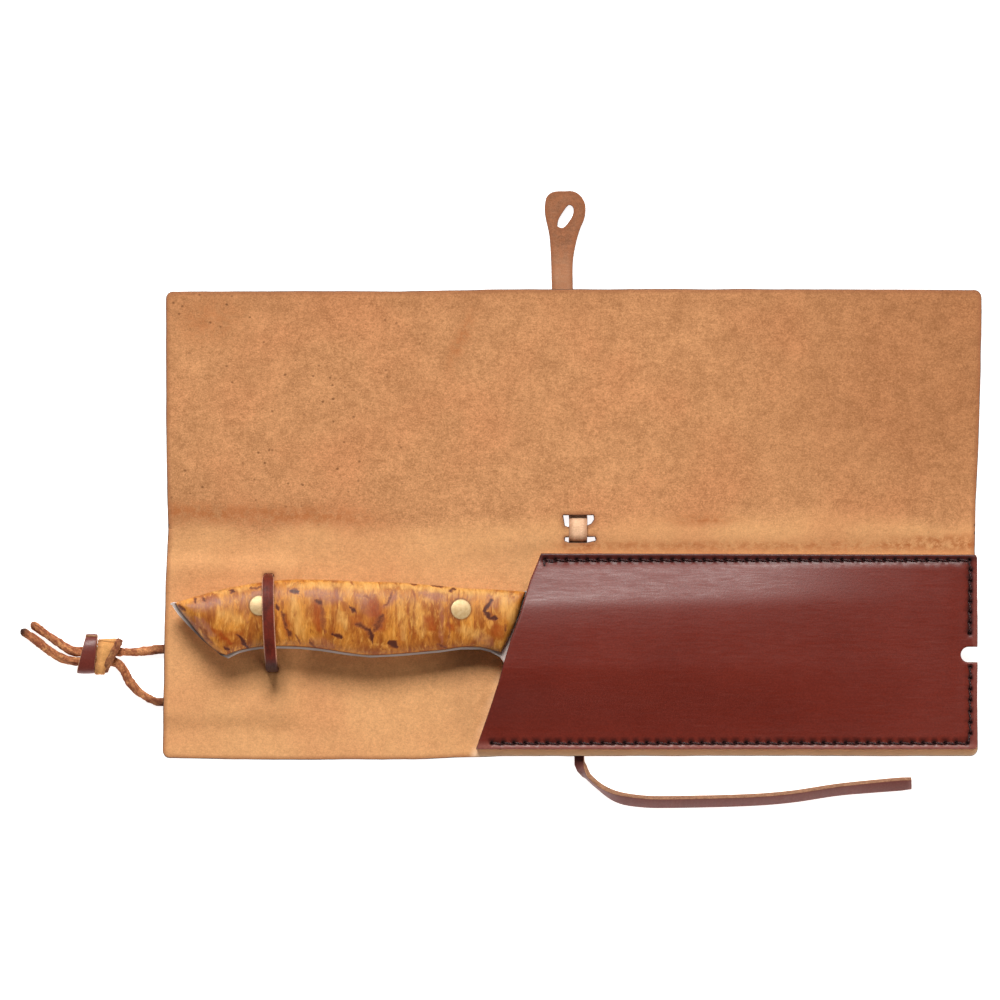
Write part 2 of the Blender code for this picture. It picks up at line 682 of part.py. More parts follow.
def ribbon(name, route, width, low, high, material, step=3.0):
    """A flat strip that follows a route in the plan, between two heights."""
    path = smooth_path(route, step)
    left, right = [], []
    for i, here in enumerate(path):
        come = (here - path[i - 1]).normalized() if i else (path[1] - here).normalized()
        go = (path[i + 1] - here).normalized() if i + 1 < len(path) else come
        out = Vector((-(come.y + go.y), come.x + go.x)).normalized() / math.cos(come.angle(go, 0.0) / 2)
        left.append(tuple(here.xy + out * width / 2))
        right.append(tuple(here.xy - out * width / 2))
    outline = right + left[::-1]
    plate(name, outline, lambda x, y: high, lambda x, y: low, material)


def make_lace_runs(material):
    top = ANY_GAP + RUN_THICK
    ribbon("lace_run_a", RUN_A_ROUTE, RUN_WIDTH, ANY_GAP, top, material)
    ribbon("lace_run_b", RUN_B_ROUTE, RUN_WIDTH, ANY_GAP, top, material)


def make_cord(name, route, radius, material, step):
    """A round cord with filled ends along a smooth curve through the route."""
    path = smooth_path(route, step)
    curve = bpy.data.curves.new(name, "CURVE")
    curve.dimensions = "3D"
    curve.bevel_depth = radius * MM
    curve.bevel_resolution = 2
    curve.use_fill_caps = True
    spline = curve.splines.new("POLY")
    spline.points.add(len(path) - 1)
    for point, knot in zip(path, spline.points):
        knot.co = (*place(*point), 1.0)
    spline.use_smooth = True
    curve.materials.append(material)
    made = bpy.data.objects.new(name, curve)
    bpy.context.scene.collection.objects.link(made)


def make_strap_tail(material):
    """The flat tail of the strap, lying on the table."""
    route = [(x, y) for x, y, _ in TAIL_ROUTE]
    low = TAIL_ROUTE[0][2] - TAIL_THICK / 2
    ribbon("strap_tail", route, TAIL_WIDTH, low, low + TAIL_THICK, material)


def make_sleeve(name, span, centre, outer, inner, material, sides=24):
    """An oval ring round both strands, rounded over at its two rims."""
    middle = (span[0] + span[1]) / 2
    half = (span[1] - span[0]) / 2
    profile = [(-half, 0.35), (-half * 0.75, 0.85), (0.0, 1.0), (half * 0.75, 0.85), (half, 0.35)]
    profile += [(half, 0.0), (-half, 0.0)]
    points = []
    for i in range(sides):
        turn = 2 * math.pi * i / sides
        c = math.copysign(abs(math.cos(turn)) ** (2 / SLEEVE_SQUARENESS), math.cos(turn))
        s = math.copysign(abs(math.sin(turn)) ** (2 / SLEEVE_SQUARENESS), math.sin(turn))
        for along, out in profile:
            wide = inner[0] + (outer[0] - inner[0]) * out
            tall = inner[1] + (outer[1] - inner[1]) * out
            points.append((middle + along, centre[0] + wide * c, centre[1] + tall * s))
    faces = ring_faces(sides, len(profile), True)
    make_object(name, points, faces, material, (middle, centre[0], centre[1]), smooth=False)


def knife_matrix():
    """Turns the flat knife about its tip so that the handle end is higher."""
    tip = Vector(TIP)
    pitch = math.atan(PITCH_SLOPE)
    back = Matrix.Translation((-tip.x, -tip.y, 0.0))
    return Matrix.Translation(tip) @ Matrix.Rotation(pitch, 4, "Y") @ back


def outline_at(outline, x):
    return float(np.interp(x, [p[0] for p in outline], [p[1] for p in outline]))


def blade_stations():
    """Places along the knife where its section is drawn."""
    found = {p[0] for p in KNIFE_BOTTOM} | {p[0] for p in KNIFE_TOP}
    found |= {-18.0, -12.0, 0.0, 40.0, 75.0, 100.0, 127.0}
    return sorted(found)


def blade_section(x):
    """Six points: spine, grind line and edge on the near side, then the same on the far side."""
    top = outline_at(KNIFE_TOP, x)
    bottom = outline_at(KNIFE_BOTTOM, x)
    ground = ramp(x, *GRIND_X)
    thick = STEEL - POINT_THINNING * ramp(x, *THINNING_X)
    edge = thick + (EDGE_THICK - thick) * ground
    line = top + (bottom - top) * GRIND_LINE
    return [
        (x, top, thick / 2), (x, line, thick / 2), (x, bottom, edge / 2),
        (x, bottom, -edge / 2), (x, line, -thick / 2), (x, top, -thick / 2),
    ]


def make_blade(material):
    stations = blade_stations()
    points = [p for x in stations for p in blade_section(x)]
    faces = ring_faces(len(stations), 6, False)
    blade = make_object("blade", points, faces, material, TIP, matrix=knife_matrix())
    bore_for_pins(blade)


def bore_for_pins(target):
    """Cuts both pin holes through one knife piece."""
    for name, (x, y) in (("front", FRONT_PIN), ("rear", REAR_PIN)):
        points = []
        for z in (-BORE_REACH, BORE_REACH):
            for i in range(BORE_SIDES):
                turn = 2 * math.pi * i / BORE_SIDES
                points.append((x + PIN_HOLE * math.cos(turn), y + PIN_HOLE * math.sin(turn), z))
        material = target.data.materials[0]
        faces = ring_faces(2, BORE_SIDES, False)
        cutter = make_object(f"{name}_bore_{target.name}", points, faces, material, matrix=knife_matrix())
        cutter.hide_render = True
        cutter.display_type = "WIRE"
        cut = target.modifiers.new(f"{name}_bore", "BOOLEAN")
        cut.operation = "DIFFERENCE"
        cut.solver = "EXACT"
        cut.object = cutter


def along_edge(edge, share):
    """The point at a share of the length of one edge of the scale."""
    steps = [0.0]
    for a, b in zip(edge, edge[1:]):
        steps.append(steps[-1] + math.dist(a, b))
    at = share * steps[-1]
    x = float(np.interp(at, steps, [p[0] for p in edge]))
    y = float(np.interp(at, steps, [p[1] for p in edge]))
    return np.array((x, y))


def scale_point(s, t):
    """A point of the scale's plan, s from butt to front and t from top to bottom."""
    top, bottom = along_edge(SCALE_TOP, s), along_edge(SCALE_BOTTOM, s)
    butt, front = along_edge(SCALE_BUTT, t), along_edge(SCALE_FRONT, t)
    corners = (1 - s) * (1 - t) * np.array(SCALE_TOP[0]) + s * (1 - t) * np.array(SCALE_TOP[-1])
    corners = corners + (1 - s) * t * np.array(SCALE_BOTTOM[0]) + s * t * np.array(SCALE_BOTTOM[-1])
    return (1 - t) * top + t * bottom + (1 - s) * butt + s * front - corners


def distance_to_edge(x, y):
    """Distance from a point to the scale's outline, with the front edge counted as farther away."""
    best = 1e9
    for edge, stretch in ((SCALE_TOP, 1.0), (SCALE_BOTTOM, 1.0), (SCALE_BUTT, 1.0), (SCALE_FRONT, 2.6)):
        for (x0, y0), (x1, y1) in zip(edge, edge[1:]):
            span = (x1 - x0) ** 2 + (y1 - y0) ** 2
            share = min(max(((x - x0) * (x1 - x0) + (y - y0) * (y1 - y0)) / span, 0.0), 1.0)
            gap = math.hypot(x - x0 - share * (x1 - x0), y - y0 - share * (y1 - y0))
            best = min(best, gap * stretch)
    return best


def scale_height(x, y):
    """Height of the scale's rounded face above the steel."""
    full = float(np.interp(x, [p[0] for p in SCALE_HEIGHT], [p[1] for p in SCALE_HEIGHT]))
    near = ramp(distance_to_edge(x, y), 0.0, SCALE_ROUNDING)
    return SCALE_EDGE + (full - SCALE_EDGE) * math.sqrt(1.0 - (1.0 - near) ** 2)


def make_scale(name, side, material):
    """One handle scale: flat against the steel and rounded over on the outside."""
    across = [0.5 - 0.5 * math.cos(math.pi * j / 14) for j in range(15)]
    along = [0.0, 0.006, 0.018, 0.038, *[0.07 + 0.045 * i for i in range(20)], 0.965, 0.98, 0.992, 1.0]
    base = STEEL / 2 + ANY_GAP
    rows, columns = len(along), len(across)
    points = []
    for level in (0, 1):
        for s in along:
            for t in across:
                x, y = scale_point(s, t)
                z = base + (scale_height(x, y) if level else 0.0)
                points.append((x, y, side * z))
    faces = []
    for i in range(rows - 1):
        for j in range(columns - 1):
            a, b = i * columns + j, i * columns + j + 1
            c, d = b + columns, a + columns
            top = rows * columns
            faces.append((a, b, c, d))
            faces.append((top + d, top + c, top + b, top + a))
    faces += scale_walls(rows, columns)
    scale = make_object(name, points, faces, material, TIP, smooth=True, matrix=knife_matrix())
    bore_for_pins(scale)


def scale_walls(rows, columns):
    """The narrow walls between the flat face and the rounded one."""
    rim = list(range(columns))
    rim += [i * columns + columns - 1 for i in range(1, rows)]
    rim += [(rows - 1) * columns + j for j in range(columns - 2, -1, -1)]
    rim += [i * columns for i in range(rows - 2, 0, -1)]
    top = rows * columns
    return [(a, b, b + top, a + top) for a, b in zip(rim, rim[1:] + rim[:1])]


def make_pin(name, centre, material):
    """A pin through both scales, its ends sanded to the curve of the wood and slightly domed."""
    sides, shares = 28, (1.0, 0.92, 0.6, 0.25)
    points = []
    for side in (-1, 1):
        shells = shares if side == 1 else shares[::-1]
        for share in shells:
            for i in range(sides):
                turn = 2 * math.pi * i / sides
                x = centre[0] + PIN_RADIUS * share * math.cos(turn)
                y = centre[1] + PIN_RADIUS * share * math.sin(turn)
                proud = 0.55 - 0.35 * share**2 if share < 1.0 else 0.0
                points.append((x, y, side * (STEEL / 2 + ANY_GAP + scale_height(x, y) + proud)))
    faces = ring_faces(2 * len(shares), sides, False)
    make_object(name, points, faces, material, TIP, smooth=True, matrix=knife_matrix())


def build():
    clear_scene()
    steel = make_material("steel", (0.55, 0.54, 0.53), 0.3, 1.0)
    wood = make_material("burl_wood", (0.62, 0.33, 0.12), 0.35)
    brass = make_material("brass", (0.8, 0.68, 0.38), 0.28, 1.0)
    panel = make_material("panel_leather", (0.6, 0.33, 0.17), 0.75)
    pocket = make_material("pocket_leather", (0.2, 0.03, 0.02), 0.5)
    strap = make_material("strap_leather", (0.35, 0.12, 0.08), 0.6)
    lace = make_material("lace_leather", (0.22, 0.06, 0.04), 0.6)
    thread = make_material("waxed_thread", (0.05, 0.01, 0.01), 0.55)
    knot = make_material("wrap_leather", (0.6, 0.33, 0.17), 0.7)
    ring = make_material("ring_leather", (0.16, 0.04, 0.04), 0.5)
    make_blade(steel)
    make_scale("near_scale", 1, wood)
    make_scale("far_scale", -1, wood)
    make_pin("front_pin", FRONT_PIN, brass)
    make_pin("rear_pin", REAR_PIN, brass)
    make_base_panel(panel)
    make_spine_panel(panel)
    make_flap_panel(panel)
    make_pocket_front(pocket)
    make_welts(panel)
    make_thread("upper_thread", UPPER_SEAM, thread)
    make_thread("lower_thread", LOWER_SEAM, thread)
    make_strap_tab(strap)
    make_strap_bridge(strap)
    make_strap_run(strap)
    make_strap_tail(strap)
    make_handle_loop(lace)
    make_lace_runs(lace)
    make_cord("lace_strand_a", STRAND_A_ROUTE, STRAND_RADIUS, lace, 3.4)
    make_cord("lace_strand_b", STRAND_B_ROUTE, STRAND_RADIUS, lace, 3.4)
    make_sleeve("lace_wrap", WRAP_X, WRAP_CENTRE, WRAP_OUTER, WRAP_INNER, knot)
    make_sleeve("slider_ring", RING_X, RING_CENTRE, RING_OUTER, RING_INNER, ring)


build()
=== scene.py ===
"""Looks of the full-tang knife in its open leather wrap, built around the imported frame.

Lengths are in millimetres in the plan's own axes, as in the CAD source. make_mesh turns them into metres.
"""

import math

import bmesh
import bpy
import numpy as np
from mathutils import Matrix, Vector, noise
from mathutils.geometry import delaunay_2d_cdt

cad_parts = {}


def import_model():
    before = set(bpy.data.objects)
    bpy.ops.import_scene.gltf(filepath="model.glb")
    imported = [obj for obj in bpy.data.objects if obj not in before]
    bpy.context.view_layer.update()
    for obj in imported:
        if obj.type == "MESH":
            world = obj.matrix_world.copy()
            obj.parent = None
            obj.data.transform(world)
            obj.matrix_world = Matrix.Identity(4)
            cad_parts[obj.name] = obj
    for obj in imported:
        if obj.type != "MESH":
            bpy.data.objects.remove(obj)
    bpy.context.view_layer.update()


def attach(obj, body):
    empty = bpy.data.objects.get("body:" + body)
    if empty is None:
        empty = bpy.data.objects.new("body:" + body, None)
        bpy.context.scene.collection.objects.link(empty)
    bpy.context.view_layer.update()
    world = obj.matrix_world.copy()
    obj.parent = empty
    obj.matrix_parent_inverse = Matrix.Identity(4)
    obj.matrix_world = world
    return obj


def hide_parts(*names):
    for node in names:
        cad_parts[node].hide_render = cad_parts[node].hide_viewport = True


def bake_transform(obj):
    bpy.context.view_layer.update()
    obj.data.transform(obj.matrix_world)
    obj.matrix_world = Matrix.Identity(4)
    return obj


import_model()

# noise_vector starts from the clock unless it is given a seed
noise.seed_set(11)

# ---------------------------------------------------------------- plan, repeated from the CAD source
MM = 0.001
PLAN_SHIFT = (0.45, 0.8)
LEATHER = 2.4
WELT = 2.5
POCKET = 2.2
STEEL = 3.0
POINT_THINNING = 1.9
GRIND_LINE = 0.42
EDGE_HALF = 0.17
BLADE_ROOM = 0.45
GAP = 0.1
LEFT_EDGE = [(-142.9, -40), (-142, -20), (-142.4, -9), (-142.7, 20)]
RIGHT_EDGE = [(143, -45), (142, -27), (142.4, -9.4), (143.6, 16.5), (144.4, 48)]
BOTTOM_LEFT = (-144.0, -100.3)
BOTTOM_EDGE = [(-105, -100.9), (-55, -100.7), (-25, -99.6), (60, -99.5)]
BOTTOM_RIGHT = (143.0, -99.5)
TOP_RIGHT = (144.4, 64.6)
TOP_EDGE = [(60, 64.9), (-22, 64.8), (-60, 64.2)]
TOP_LEFT = (-142.8, 64.1)
CORNER_RADIUS = 2.6
STRAP_X = -0.5
LACE_X = (-101.0, -92.0)
LACE_Y = (-91.0, -84.0, -34.0, -27.0)
POCKET_TOP_Y = -28.6
POCKET_BOTTOM_Y = -97.05
POCKET_END_X = 142.7
MOUTH = [
    (-10.8, -28.6), (-12.1, -31.6), (-14.6, -37.6), (-16.4, -43.6), (-18.5, -50.6),
    (-21.3, -58), (-24.1, -67.5), (-25.5, -72.8), (-29.5, -85), (-33.7, -97.05),
]
NOTCH_Y = -63.8
NOTCH_HALF = 2.75
NOTCH_X = 136.9
DOME_TOP_Y = -31.2
DOME_LOW_Y = (-95.2, -66.5)
DOME_X = (131.8, 137.5)
SLACK = 2.7
TIP = (131.5, -62.0, 3.4)
PITCH_SLOPE = 0.0425
SPLIT_Y = -19.6
SPINE_BEND = (-28.3, -21.6)
FLAP_BEND = (-9.4, -1.8)
STRAP_SPLIT_Y = -11.6
FAR = 1e9


# ---------------------------------------------------------------- small maths
def ramp(value, low, high):
    return np.clip((value - low) / (high - low), 0.0, 1.0)


def ease(value):
    return value * value * (3.0 - 2.0 * value)


def soft(value, low, high):
    return ease(ramp(value, low, high))


def bell(value, width):
    return np.exp(-((value / width) ** 2))


def smooth_path(route, step):
    """Points along a Catmull-Rom curve through the route, about one step apart."""
    knots = [Vector(p) for p in route]
    knots = [2 * knots[0] - knots[1], *knots, 2 * knots[-1] - knots[-2]]
    out = []
    for a, b, c, d in zip(knots, knots[1:], knots[2:], knots[3:]):
        count = max(1, round((c - b).length / step))
        for i in range(count):
            t = i / count
            bend = (2 * a - 5 * b + 4 * c - d) * t**2 + (3 * b - a - 3 * c + d) * t**3
            out.append(0.5 * (2 * b + (c - a) * t + bend))
    out.append(knots[-2])
    return np.array([tuple(p) for p in out])


def round_corner(before, corner, after, radius, count=5):
    """The points of an arc that rounds one corner of a polygon."""
    corner = Vector(corner)
    to_before = (Vector(before) - corner).normalized()
    to_after = (Vector(after) - corner).normalized()
    half = to_before.angle(to_after) / 2
    centre = corner + (to_before + to_after).normalized() * radius / math.sin(half)
    start = corner + to_before * radius / math.tan(half) - centre
    end = corner + to_after * radius / math.tan(half) - centre
    turn = start.angle(end)
    found = []
    for i in range(count + 1):
        share = i / count
        mixed = start * math.sin((1 - share) * turn) + end * math.sin(share * turn)
        found.append(tuple(centre + mixed / math.sin(turn)))
    return found


def inside(xy, loop):
    """Which of the points lie inside the closed polygon."""
    found = np.zeros(len(xy), bool)
    x, y = xy[:, 0], xy[:, 1]
    for (x0, y0), (x1, y1) in zip(loop, list(loop[1:]) + [loop[0]]):
        if y0 != y1:
            found ^= ((y0 > y) != (y1 > y)) & (x < (x1 - x0) * (y - y0) / (y1 - y0) + x0)
    return found


def line_distance(xy, line):
    """Distance of each point from an open line. xy is rows of x and y, or a pair of lists."""
    xy = np.column_stack(xy) if isinstance(xy, tuple) else xy
    best = np.full(len(xy), FAR)
    for (x0, y0), (x1, y1) in zip(line, line[1:]):
        span = max((x1 - x0) ** 2 + (y1 - y0) ** 2, 1e-12)
        share = np.clip(((xy[:, 0] - x0) * (x1 - x0) + (xy[:, 1] - y0) * (y1 - y0)) / span, 0, 1)
        gap = np.hypot(xy[:, 0] - x0 - share * (x1 - x0), xy[:, 1] - y0 - share * (y1 - y0))
        best = np.minimum(best, gap)
    return best


def loop_distance(xy, loops, joined_y=None):
    """Distance from closed loops, leaving out the line where a piece goes on into its neighbour."""
    best = np.full(len(xy), FAR)
    for loop in loops:
        for a, b in zip(loop, [*loop[1:], loop[0]]):
            if joined_y is None or abs(a[1] - joined_y) + abs(b[1] - joined_y) > 1e-4:
                best = np.minimum(best, line_distance(xy, [a, b]))
    return best


def resample(loop, step):
    """The loop's own corners, with points added so that none are farther apart than the step."""
    found = []
    for (x0, y0), (x1, y1) in zip(loop, loop[1:] + loop[:1]):
        count = max(1, math.ceil(math.hypot(x1 - x0, y1 - y0) / step))
        found += [(x0 + (x1 - x0) * i / count, y0 + (y1 - y0) * i / count) for i in range(count)]
    return found


def unit(rows):
    return rows / np.linalg.norm(rows, axis=1)[:, None]


def headings(path):
    """The direction of a path at each of its points."""
    return unit(np.gradient(path, axis=0))


def swept(rings, size, first=0):
    """Faces round consecutive rings of points, with both ends closed."""
    faces = []
    for i in range(rings - 1):
        for j in range(size):
            a, b = first + i * size + j, first + i * size + (j + 1) % size
            faces.append((a, b, b + size, a + size))
    last = first + (rings - 1) * size
    return [*faces, tuple(range(first, first + size))[::-1], tuple(range(last, last + size))]


def lumps(xy, scale, layer):
    """Smooth random numbers, one for each point."""
    return np.array([noise.noise(Vector((x * scale, y * scale, layer))) for x, y in xy])


def at(edge, y):
    return float(np.interp(y, [p[1] for p in edge], [p[0] for p in edge]))


# ---------------------------------------------------------------- mesh making
def world(points):
    return (np.asarray(points, float) + np.array([*PLAN_SHIFT, 0.0])) * MM


def add_object(name, data, place=(0.0, 0.0, 0.0)):
    made = bpy.data.objects.new(name, data)
    made.location = place
    bpy.context.scene.collection.objects.link(made)
    return made


def make_mesh(name, points, faces, materials, picks=None, rest=None, attributes=None):
    """One mesh object. rest is where each point lies in the grain of its material, in millimetres."""
    points = np.asarray(points, float)
    mesh = bpy.data.meshes.new(name)
    mesh.from_pydata([tuple(p) for p in world(points)], [], [tuple(int(i) for i in f) for f in faces])
    for material in materials:
        mesh.materials.append(material)
    if picks is not None:
        mesh.polygons.foreach_set("material_index", np.asarray(picks, np.int32))
    mesh.polygons.foreach_set("use_smooth", np.ones(len(mesh.polygons), bool))
    rest = points if rest is None else np.asarray(rest, float)
    kept = mesh.attributes.new("rest", "FLOAT_VECTOR", "POINT")
    kept.data.foreach_set("vector", rest.astype(np.float32).ravel())
    for key, values in (attributes or {}).items():
        kept = mesh.attributes.new(key, "FLOAT", "POINT")
        kept.data.foreach_set("value", np.asarray(values, np.float32))
    work = bmesh.new()
    work.from_mesh(mesh)
    bmesh.ops.recalc_face_normals(work, faces=work.faces)
    work.to_mesh(mesh)
    work.free()
    return add_object(name, mesh)


def cut_net(outline, holes, pitch, rings, extra):
    """Flat triangles that fill an outline: an even net, with rings of points close inside every edge."""
    loops = [outline, *holes]
    points, edges = [], []
    for loop in loops:
        first = len(points)
        points += [Vector(p) for p in loop]
        edges += [(first + i, first + (i + 1) % len(loop)) for i in range(len(loop))]
    more = []
    for index, loop in enumerate(loops):
        corners = np.array(loop)
        ahead = np.roll(corners, -1, 0) - np.roll(corners, 1, 0)
        ahead /= np.maximum(np.linalg.norm(ahead, axis=1), 1e-9)[:, None]
        area = np.sum(corners[:, 0] * np.roll(corners[:, 1], -1) - corners[:, 1] * np.roll(corners[:, 0], -1))
        turn = (1 if area > 0 else -1) * (1 if index == 0 else -1)
        inward = np.stack([-ahead[:, 1], ahead[:, 0]], 1) * turn
        for reach in rings:
            moved = corners + inward * reach
            more.append(moved[loop_distance(moved, loops) > reach * 0.8])
    low, high = np.min(np.array(outline), 0), np.max(np.array(outline), 0)
    columns = np.arange(low[0] + pitch / 2, high[0], pitch)
    rows = np.arange(low[1] + pitch / 2, high[1], pitch * 0.87)
    net = []
    for k, y in enumerate(rows):
        net.append(np.stack([columns + (k % 2) * pitch / 2, np.full(len(columns), y)], 1))
    net = np.concatenate(net)
    more.append(net[loop_distance(net, loops) > max(rings) + pitch * 0.45])
    if len(extra):
        extra = np.asarray(extra)
        more.append(extra[loop_distance(extra, loops) > max(rings) + 0.15])
        wide = more[-2]
        near = np.ones(len(wide), bool)
        for block in np.array_split(extra, max(1, len(extra) // 400)):
            gaps = np.hypot(wide[:, 0][:, None] - block[:, 0], wide[:, 1][:, None] - block[:, 1])
            near &= gaps.min(1) > pitch * 0.5
        more[-2] = wide[near]
    points += [Vector(p) for p in np.concatenate(more)]
    flat, _, triangles, *_ = delaunay_2d_cdt(points, edges, [], 0, 1e-5)
    flat = np.array([tuple(p) for p in flat])
    triangles = np.array([t for t in triangles if len(t) == 3])
    middle = flat[triangles].mean(1)
    keep = inside(middle, outline)
    for hole in holes:
        keep &= ~inside(middle, hole)
    triangles = triangles[keep]
    used, triangles = np.unique(triangles, return_inverse=True)
    return flat[used], triangles.reshape(-1, 3), loops


def cut_leather(
    name, outline, holes, pitch, top, bottom, materials, rounding=0.55, extra=(), attributes=None,
    joined_y=None, reach=0.3,
):
    """A cut leather piece with rounded edges. Its materials: upper face, lower face and cut."""
    rings = (0.12 * rounding, 0.45 * rounding, rounding, rounding * 2.2)
    flat, triangles, loops = cut_net(outline, holes, pitch, rings, extra)
    edge = loop_distance(flat, loops, joined_y)
    share = 1 - np.clip(edge / rounding, 0, 1)
    drop = rounding * (1 - np.sqrt(np.maximum(1 - share**2, 0)))
    x, y = flat[:, 0], flat[:, 1]
    count = len(flat)
    high = np.column_stack([flat, top(x, y) - drop])
    low = np.column_stack([flat, bottom(x, y) + drop])
    sides = dict.fromkeys(pair for a, b, c in triangles for pair in ((a, b), (b, c), (c, a)))
    walls = [(b, a, a + count, b + count) for a, b in sides if (b, a) not in sides]
    faces = [tuple(t) for t in triangles] + [tuple(t[::-1] + count) for t in triangles] + walls
    far = edge[triangles].mean(1) < rounding * reach
    picks = np.concatenate([np.where(far, 2, 0), np.where(far, 2, 1), np.full(len(walls), 2)])
    more = {"edge": np.tile(edge, 2)}
    for key, function in (attributes or {}).items():
        more[key] = np.tile(function(x, y), 2)
    made = make_mesh(name, np.concatenate([high, low]), faces, materials, picks, attributes=more)
    made.data.set_sharp_from_angle(angle=math.radians(65))
    return made


def strip(name, path, across, widths, thickness, materials, rounding=0.45, crown=0.12, ragged=0.0, dusk=0.0):
    """A flat strip along a path. across gives the direction of its width at each point."""
    path = np.asarray(path, float)
    count = len(path)
    ahead = headings(path)
    across = np.broadcast_to(np.asarray(across, float), (count, 3))
    across = unit(across - (across * ahead).sum(1)[:, None] * ahead)
    up = np.cross(across, ahead)
    widths, thick, dusk = (np.broadcast_to(np.asarray(v, float), (count,)) for v in (widths, thickness, dusk))
    along = np.concatenate([[0], np.cumsum(np.linalg.norm(np.diff(path, axis=0), axis=1))])
    spread = [-1, -0.66, -0.33, 0, 0.33, 0.66, 1]
    turns = [math.pi * i / 8 for i in (1, 2, 3, 4)]
    shape = [(u, 0.0, 1) for u in spread] + [(1.0, a, 1) for a in turns] + [(1.0, a, -1) for a in turns[::-1]]
    shape += [(u, 0.0, -1) for u in spread[::-1]] + [(-1.0, a, -1) for a in turns]
    shape += [(-1.0, a, 1) for a in turns[::-1]]
    points, rest, sides, edges, dusks = [], [], [], [], []
    for i in range(count):
        half, tall = widths[i] / 2, thick[i] / 2
        curve = min(rounding, tall * 0.95, half * 0.6)
        for u, turn, face in shape:
            out = u * (half - curve) + (math.copysign(math.sin(turn), u) * curve if turn else 0.0)
            rise_ = face * (tall - curve + curve * math.cos(turn)) + crown * (1 - u * u) * (face > 0)
            spot = path[i] + across[i] * out + up[i] * rise_
            if ragged:
                spot = spot + np.array(noise.noise_vector(Vector(spot) * 0.75)) * ragged
                spot = spot + np.array(noise.noise_vector(Vector(spot) * 2.1)) * ragged * 0.5
            points.append(spot)
            dusks.append(dusk[i])
            rest.append((out, along[i], face * tall))
            sides.append(face if turn == 0.0 else 0.0)
            edges.append(half - abs(out))
    size = len(shape)
    row = []
    for here, after in zip(shape, shape[1:] + shape[:1]):
        level = here[2] if here[1] < 1.0 and after[1] < 1.0 and here[2] == after[2] else 0
        row.append({1: 0, -1: 1, 0: 2}[level])
    picks = row * (count - 1) + [2, 2]
    marks = {"edge": edges, "face": sides, "dusk": dusks}
    return make_mesh(name, points, swept(count, size), materials, picks, rest, marks)


# ---------------------------------------------------------------- heights of the leather
def wave(x, y):
    """The slow unevenness of leather that lies open on a table."""
    slow = np.sin(x * 0.031 + 1.2) * np.cos(y * 0.043 + 0.5) + 0.6 * np.sin(x * 0.067 - y * 0.051 + 2.0)
    quick = np.sin(x * 0.17 + y * 0.09) * np.sin(y * 0.21 - x * 0.05 + 1.0)
    calm = 1.0 - 0.85 * soft(x, -40.0, -12.0) * (1.0 - soft(y, -30.0, -24.0))
    return (0.33 + 0.17 * slow + 0.045 * quick) * calm


def strap_rise(x):
    return 1.8 * (1.0 - soft(np.abs(x - STRAP_X), 4.0, 62.0))


def lace_rise(x, y):
    along = 1.0 - soft(x, *LACE_X)
    across = soft(y, LACE_Y[0], LACE_Y[1]) * (1.0 - soft(y, LACE_Y[2], LACE_Y[3]))
    return 2.2 * along * across


def rise(x, y):
    return np.maximum(strap_rise(x), lace_rise(x, y)) + wave(x, y)


def panel_face(x, y):
    return rise(x, y) + LEATHER - 0.12


def knife_middle(x):
    return TIP[2] + PITCH_SLOPE * (TIP[0] - x)


def pocket_climb(y):
    """The share of its height that the pocket has reached: steep at its top seam, level over the blade."""
    steps = np.linspace(0.0, 30.0, 601)
    slope = 1.0 - 0.65 * soft(steps, 9.0, 17.5) - 0.35 * soft(steps, 12.0, 30.0)
    height = np.cumsum(slope)
    return np.interp(DOME_TOP_Y - y, steps, height / height[-1])


def pocket_under(x, y):
    seam = LEATHER + WELT + 2 * GAP
    full = knife_middle(x) + STEEL / 2 + BLADE_ROOM - seam + SLACK * (1.0 - 0.85 * soft(x, 30.0, 128.0))
    share = pocket_climb(y) * soft(y, *DOME_LOW_Y) * (1.0 - soft(x, *DOME_X))
    lift = rise(x, y) * (1.0 - 0.35 * share)
    return seam + lift + share * np.maximum(full, 0.0)


# ---------------------------------------------------------------- camera, light and floor
CENTRE = (-24.7, -8.6)
SPAN = 352.0
DISTANCE = 4000.0
SENSOR = 36.0
WALL_LIGHT = 0.42
CEILING_LIGHT = 0.04


def make_camera():
    data = bpy.data.cameras.new("camera")
    data.sensor_width = SENSOR
    data.lens = SENSOR * DISTANCE / SPAN
    data.clip_start = 0.05
    data.clip_end = 50.0
    place = (CENTRE[0] * MM, CENTRE[1] * MM, (DISTANCE + 3.0) * MM)
    bpy.context.scene.camera = add_object("camera", data, place)


def make_light(name, place, size, power, color, gloss=True):
    """A rectangular light that faces the middle of the table."""
    data = bpy.data.lights.new(name, "AREA")
    data.shape = "RECTANGLE"
    data.size, data.size_y = size
    data.energy = power
    data.color = color
    made = add_object(name, data, place)
    made.visible_glossy = gloss
    made.rotation_mode = "QUATERNION"
    made.rotation_quaternion = (-Vector(place)).to_track_quat("-Z", "Y")


def make_sky(scene):
    """A room with a dark ceiling and pale walls, so that flat glossy faces stay deep in colour."""
    sky = bpy.data.worlds.new("room")
    sky.use_nodes = True
    tree = sky.node_tree
    where = tree.nodes.new("ShaderNodeTexCoord")
    split = tree.nodes.new("ShaderNodeSeparateXYZ")
    fade = tree.nodes.new("ShaderNodeMapRange")
    fade.interpolation_type = "SMOOTHSTEP"
    levels = {"From Min": 0.1, "From Max": 0.8, "To Min": WALL_LIGHT, "To Max": CEILING_LIGHT}
    for key, value in levels.items():
        fade.inputs[key].default_value = value
    tree.links.new(where.outputs["Generated"], split.inputs[0])
    tree.links.new(split.outputs["Z"], fade.inputs["Value"])
    tree.links.new(fade.outputs[0], tree.nodes["Background"].inputs["Strength"])
    tree.nodes["Background"].inputs["Color"].default_value = (1.0, 0.99, 0.97, 1.0)
    scene.world = sky


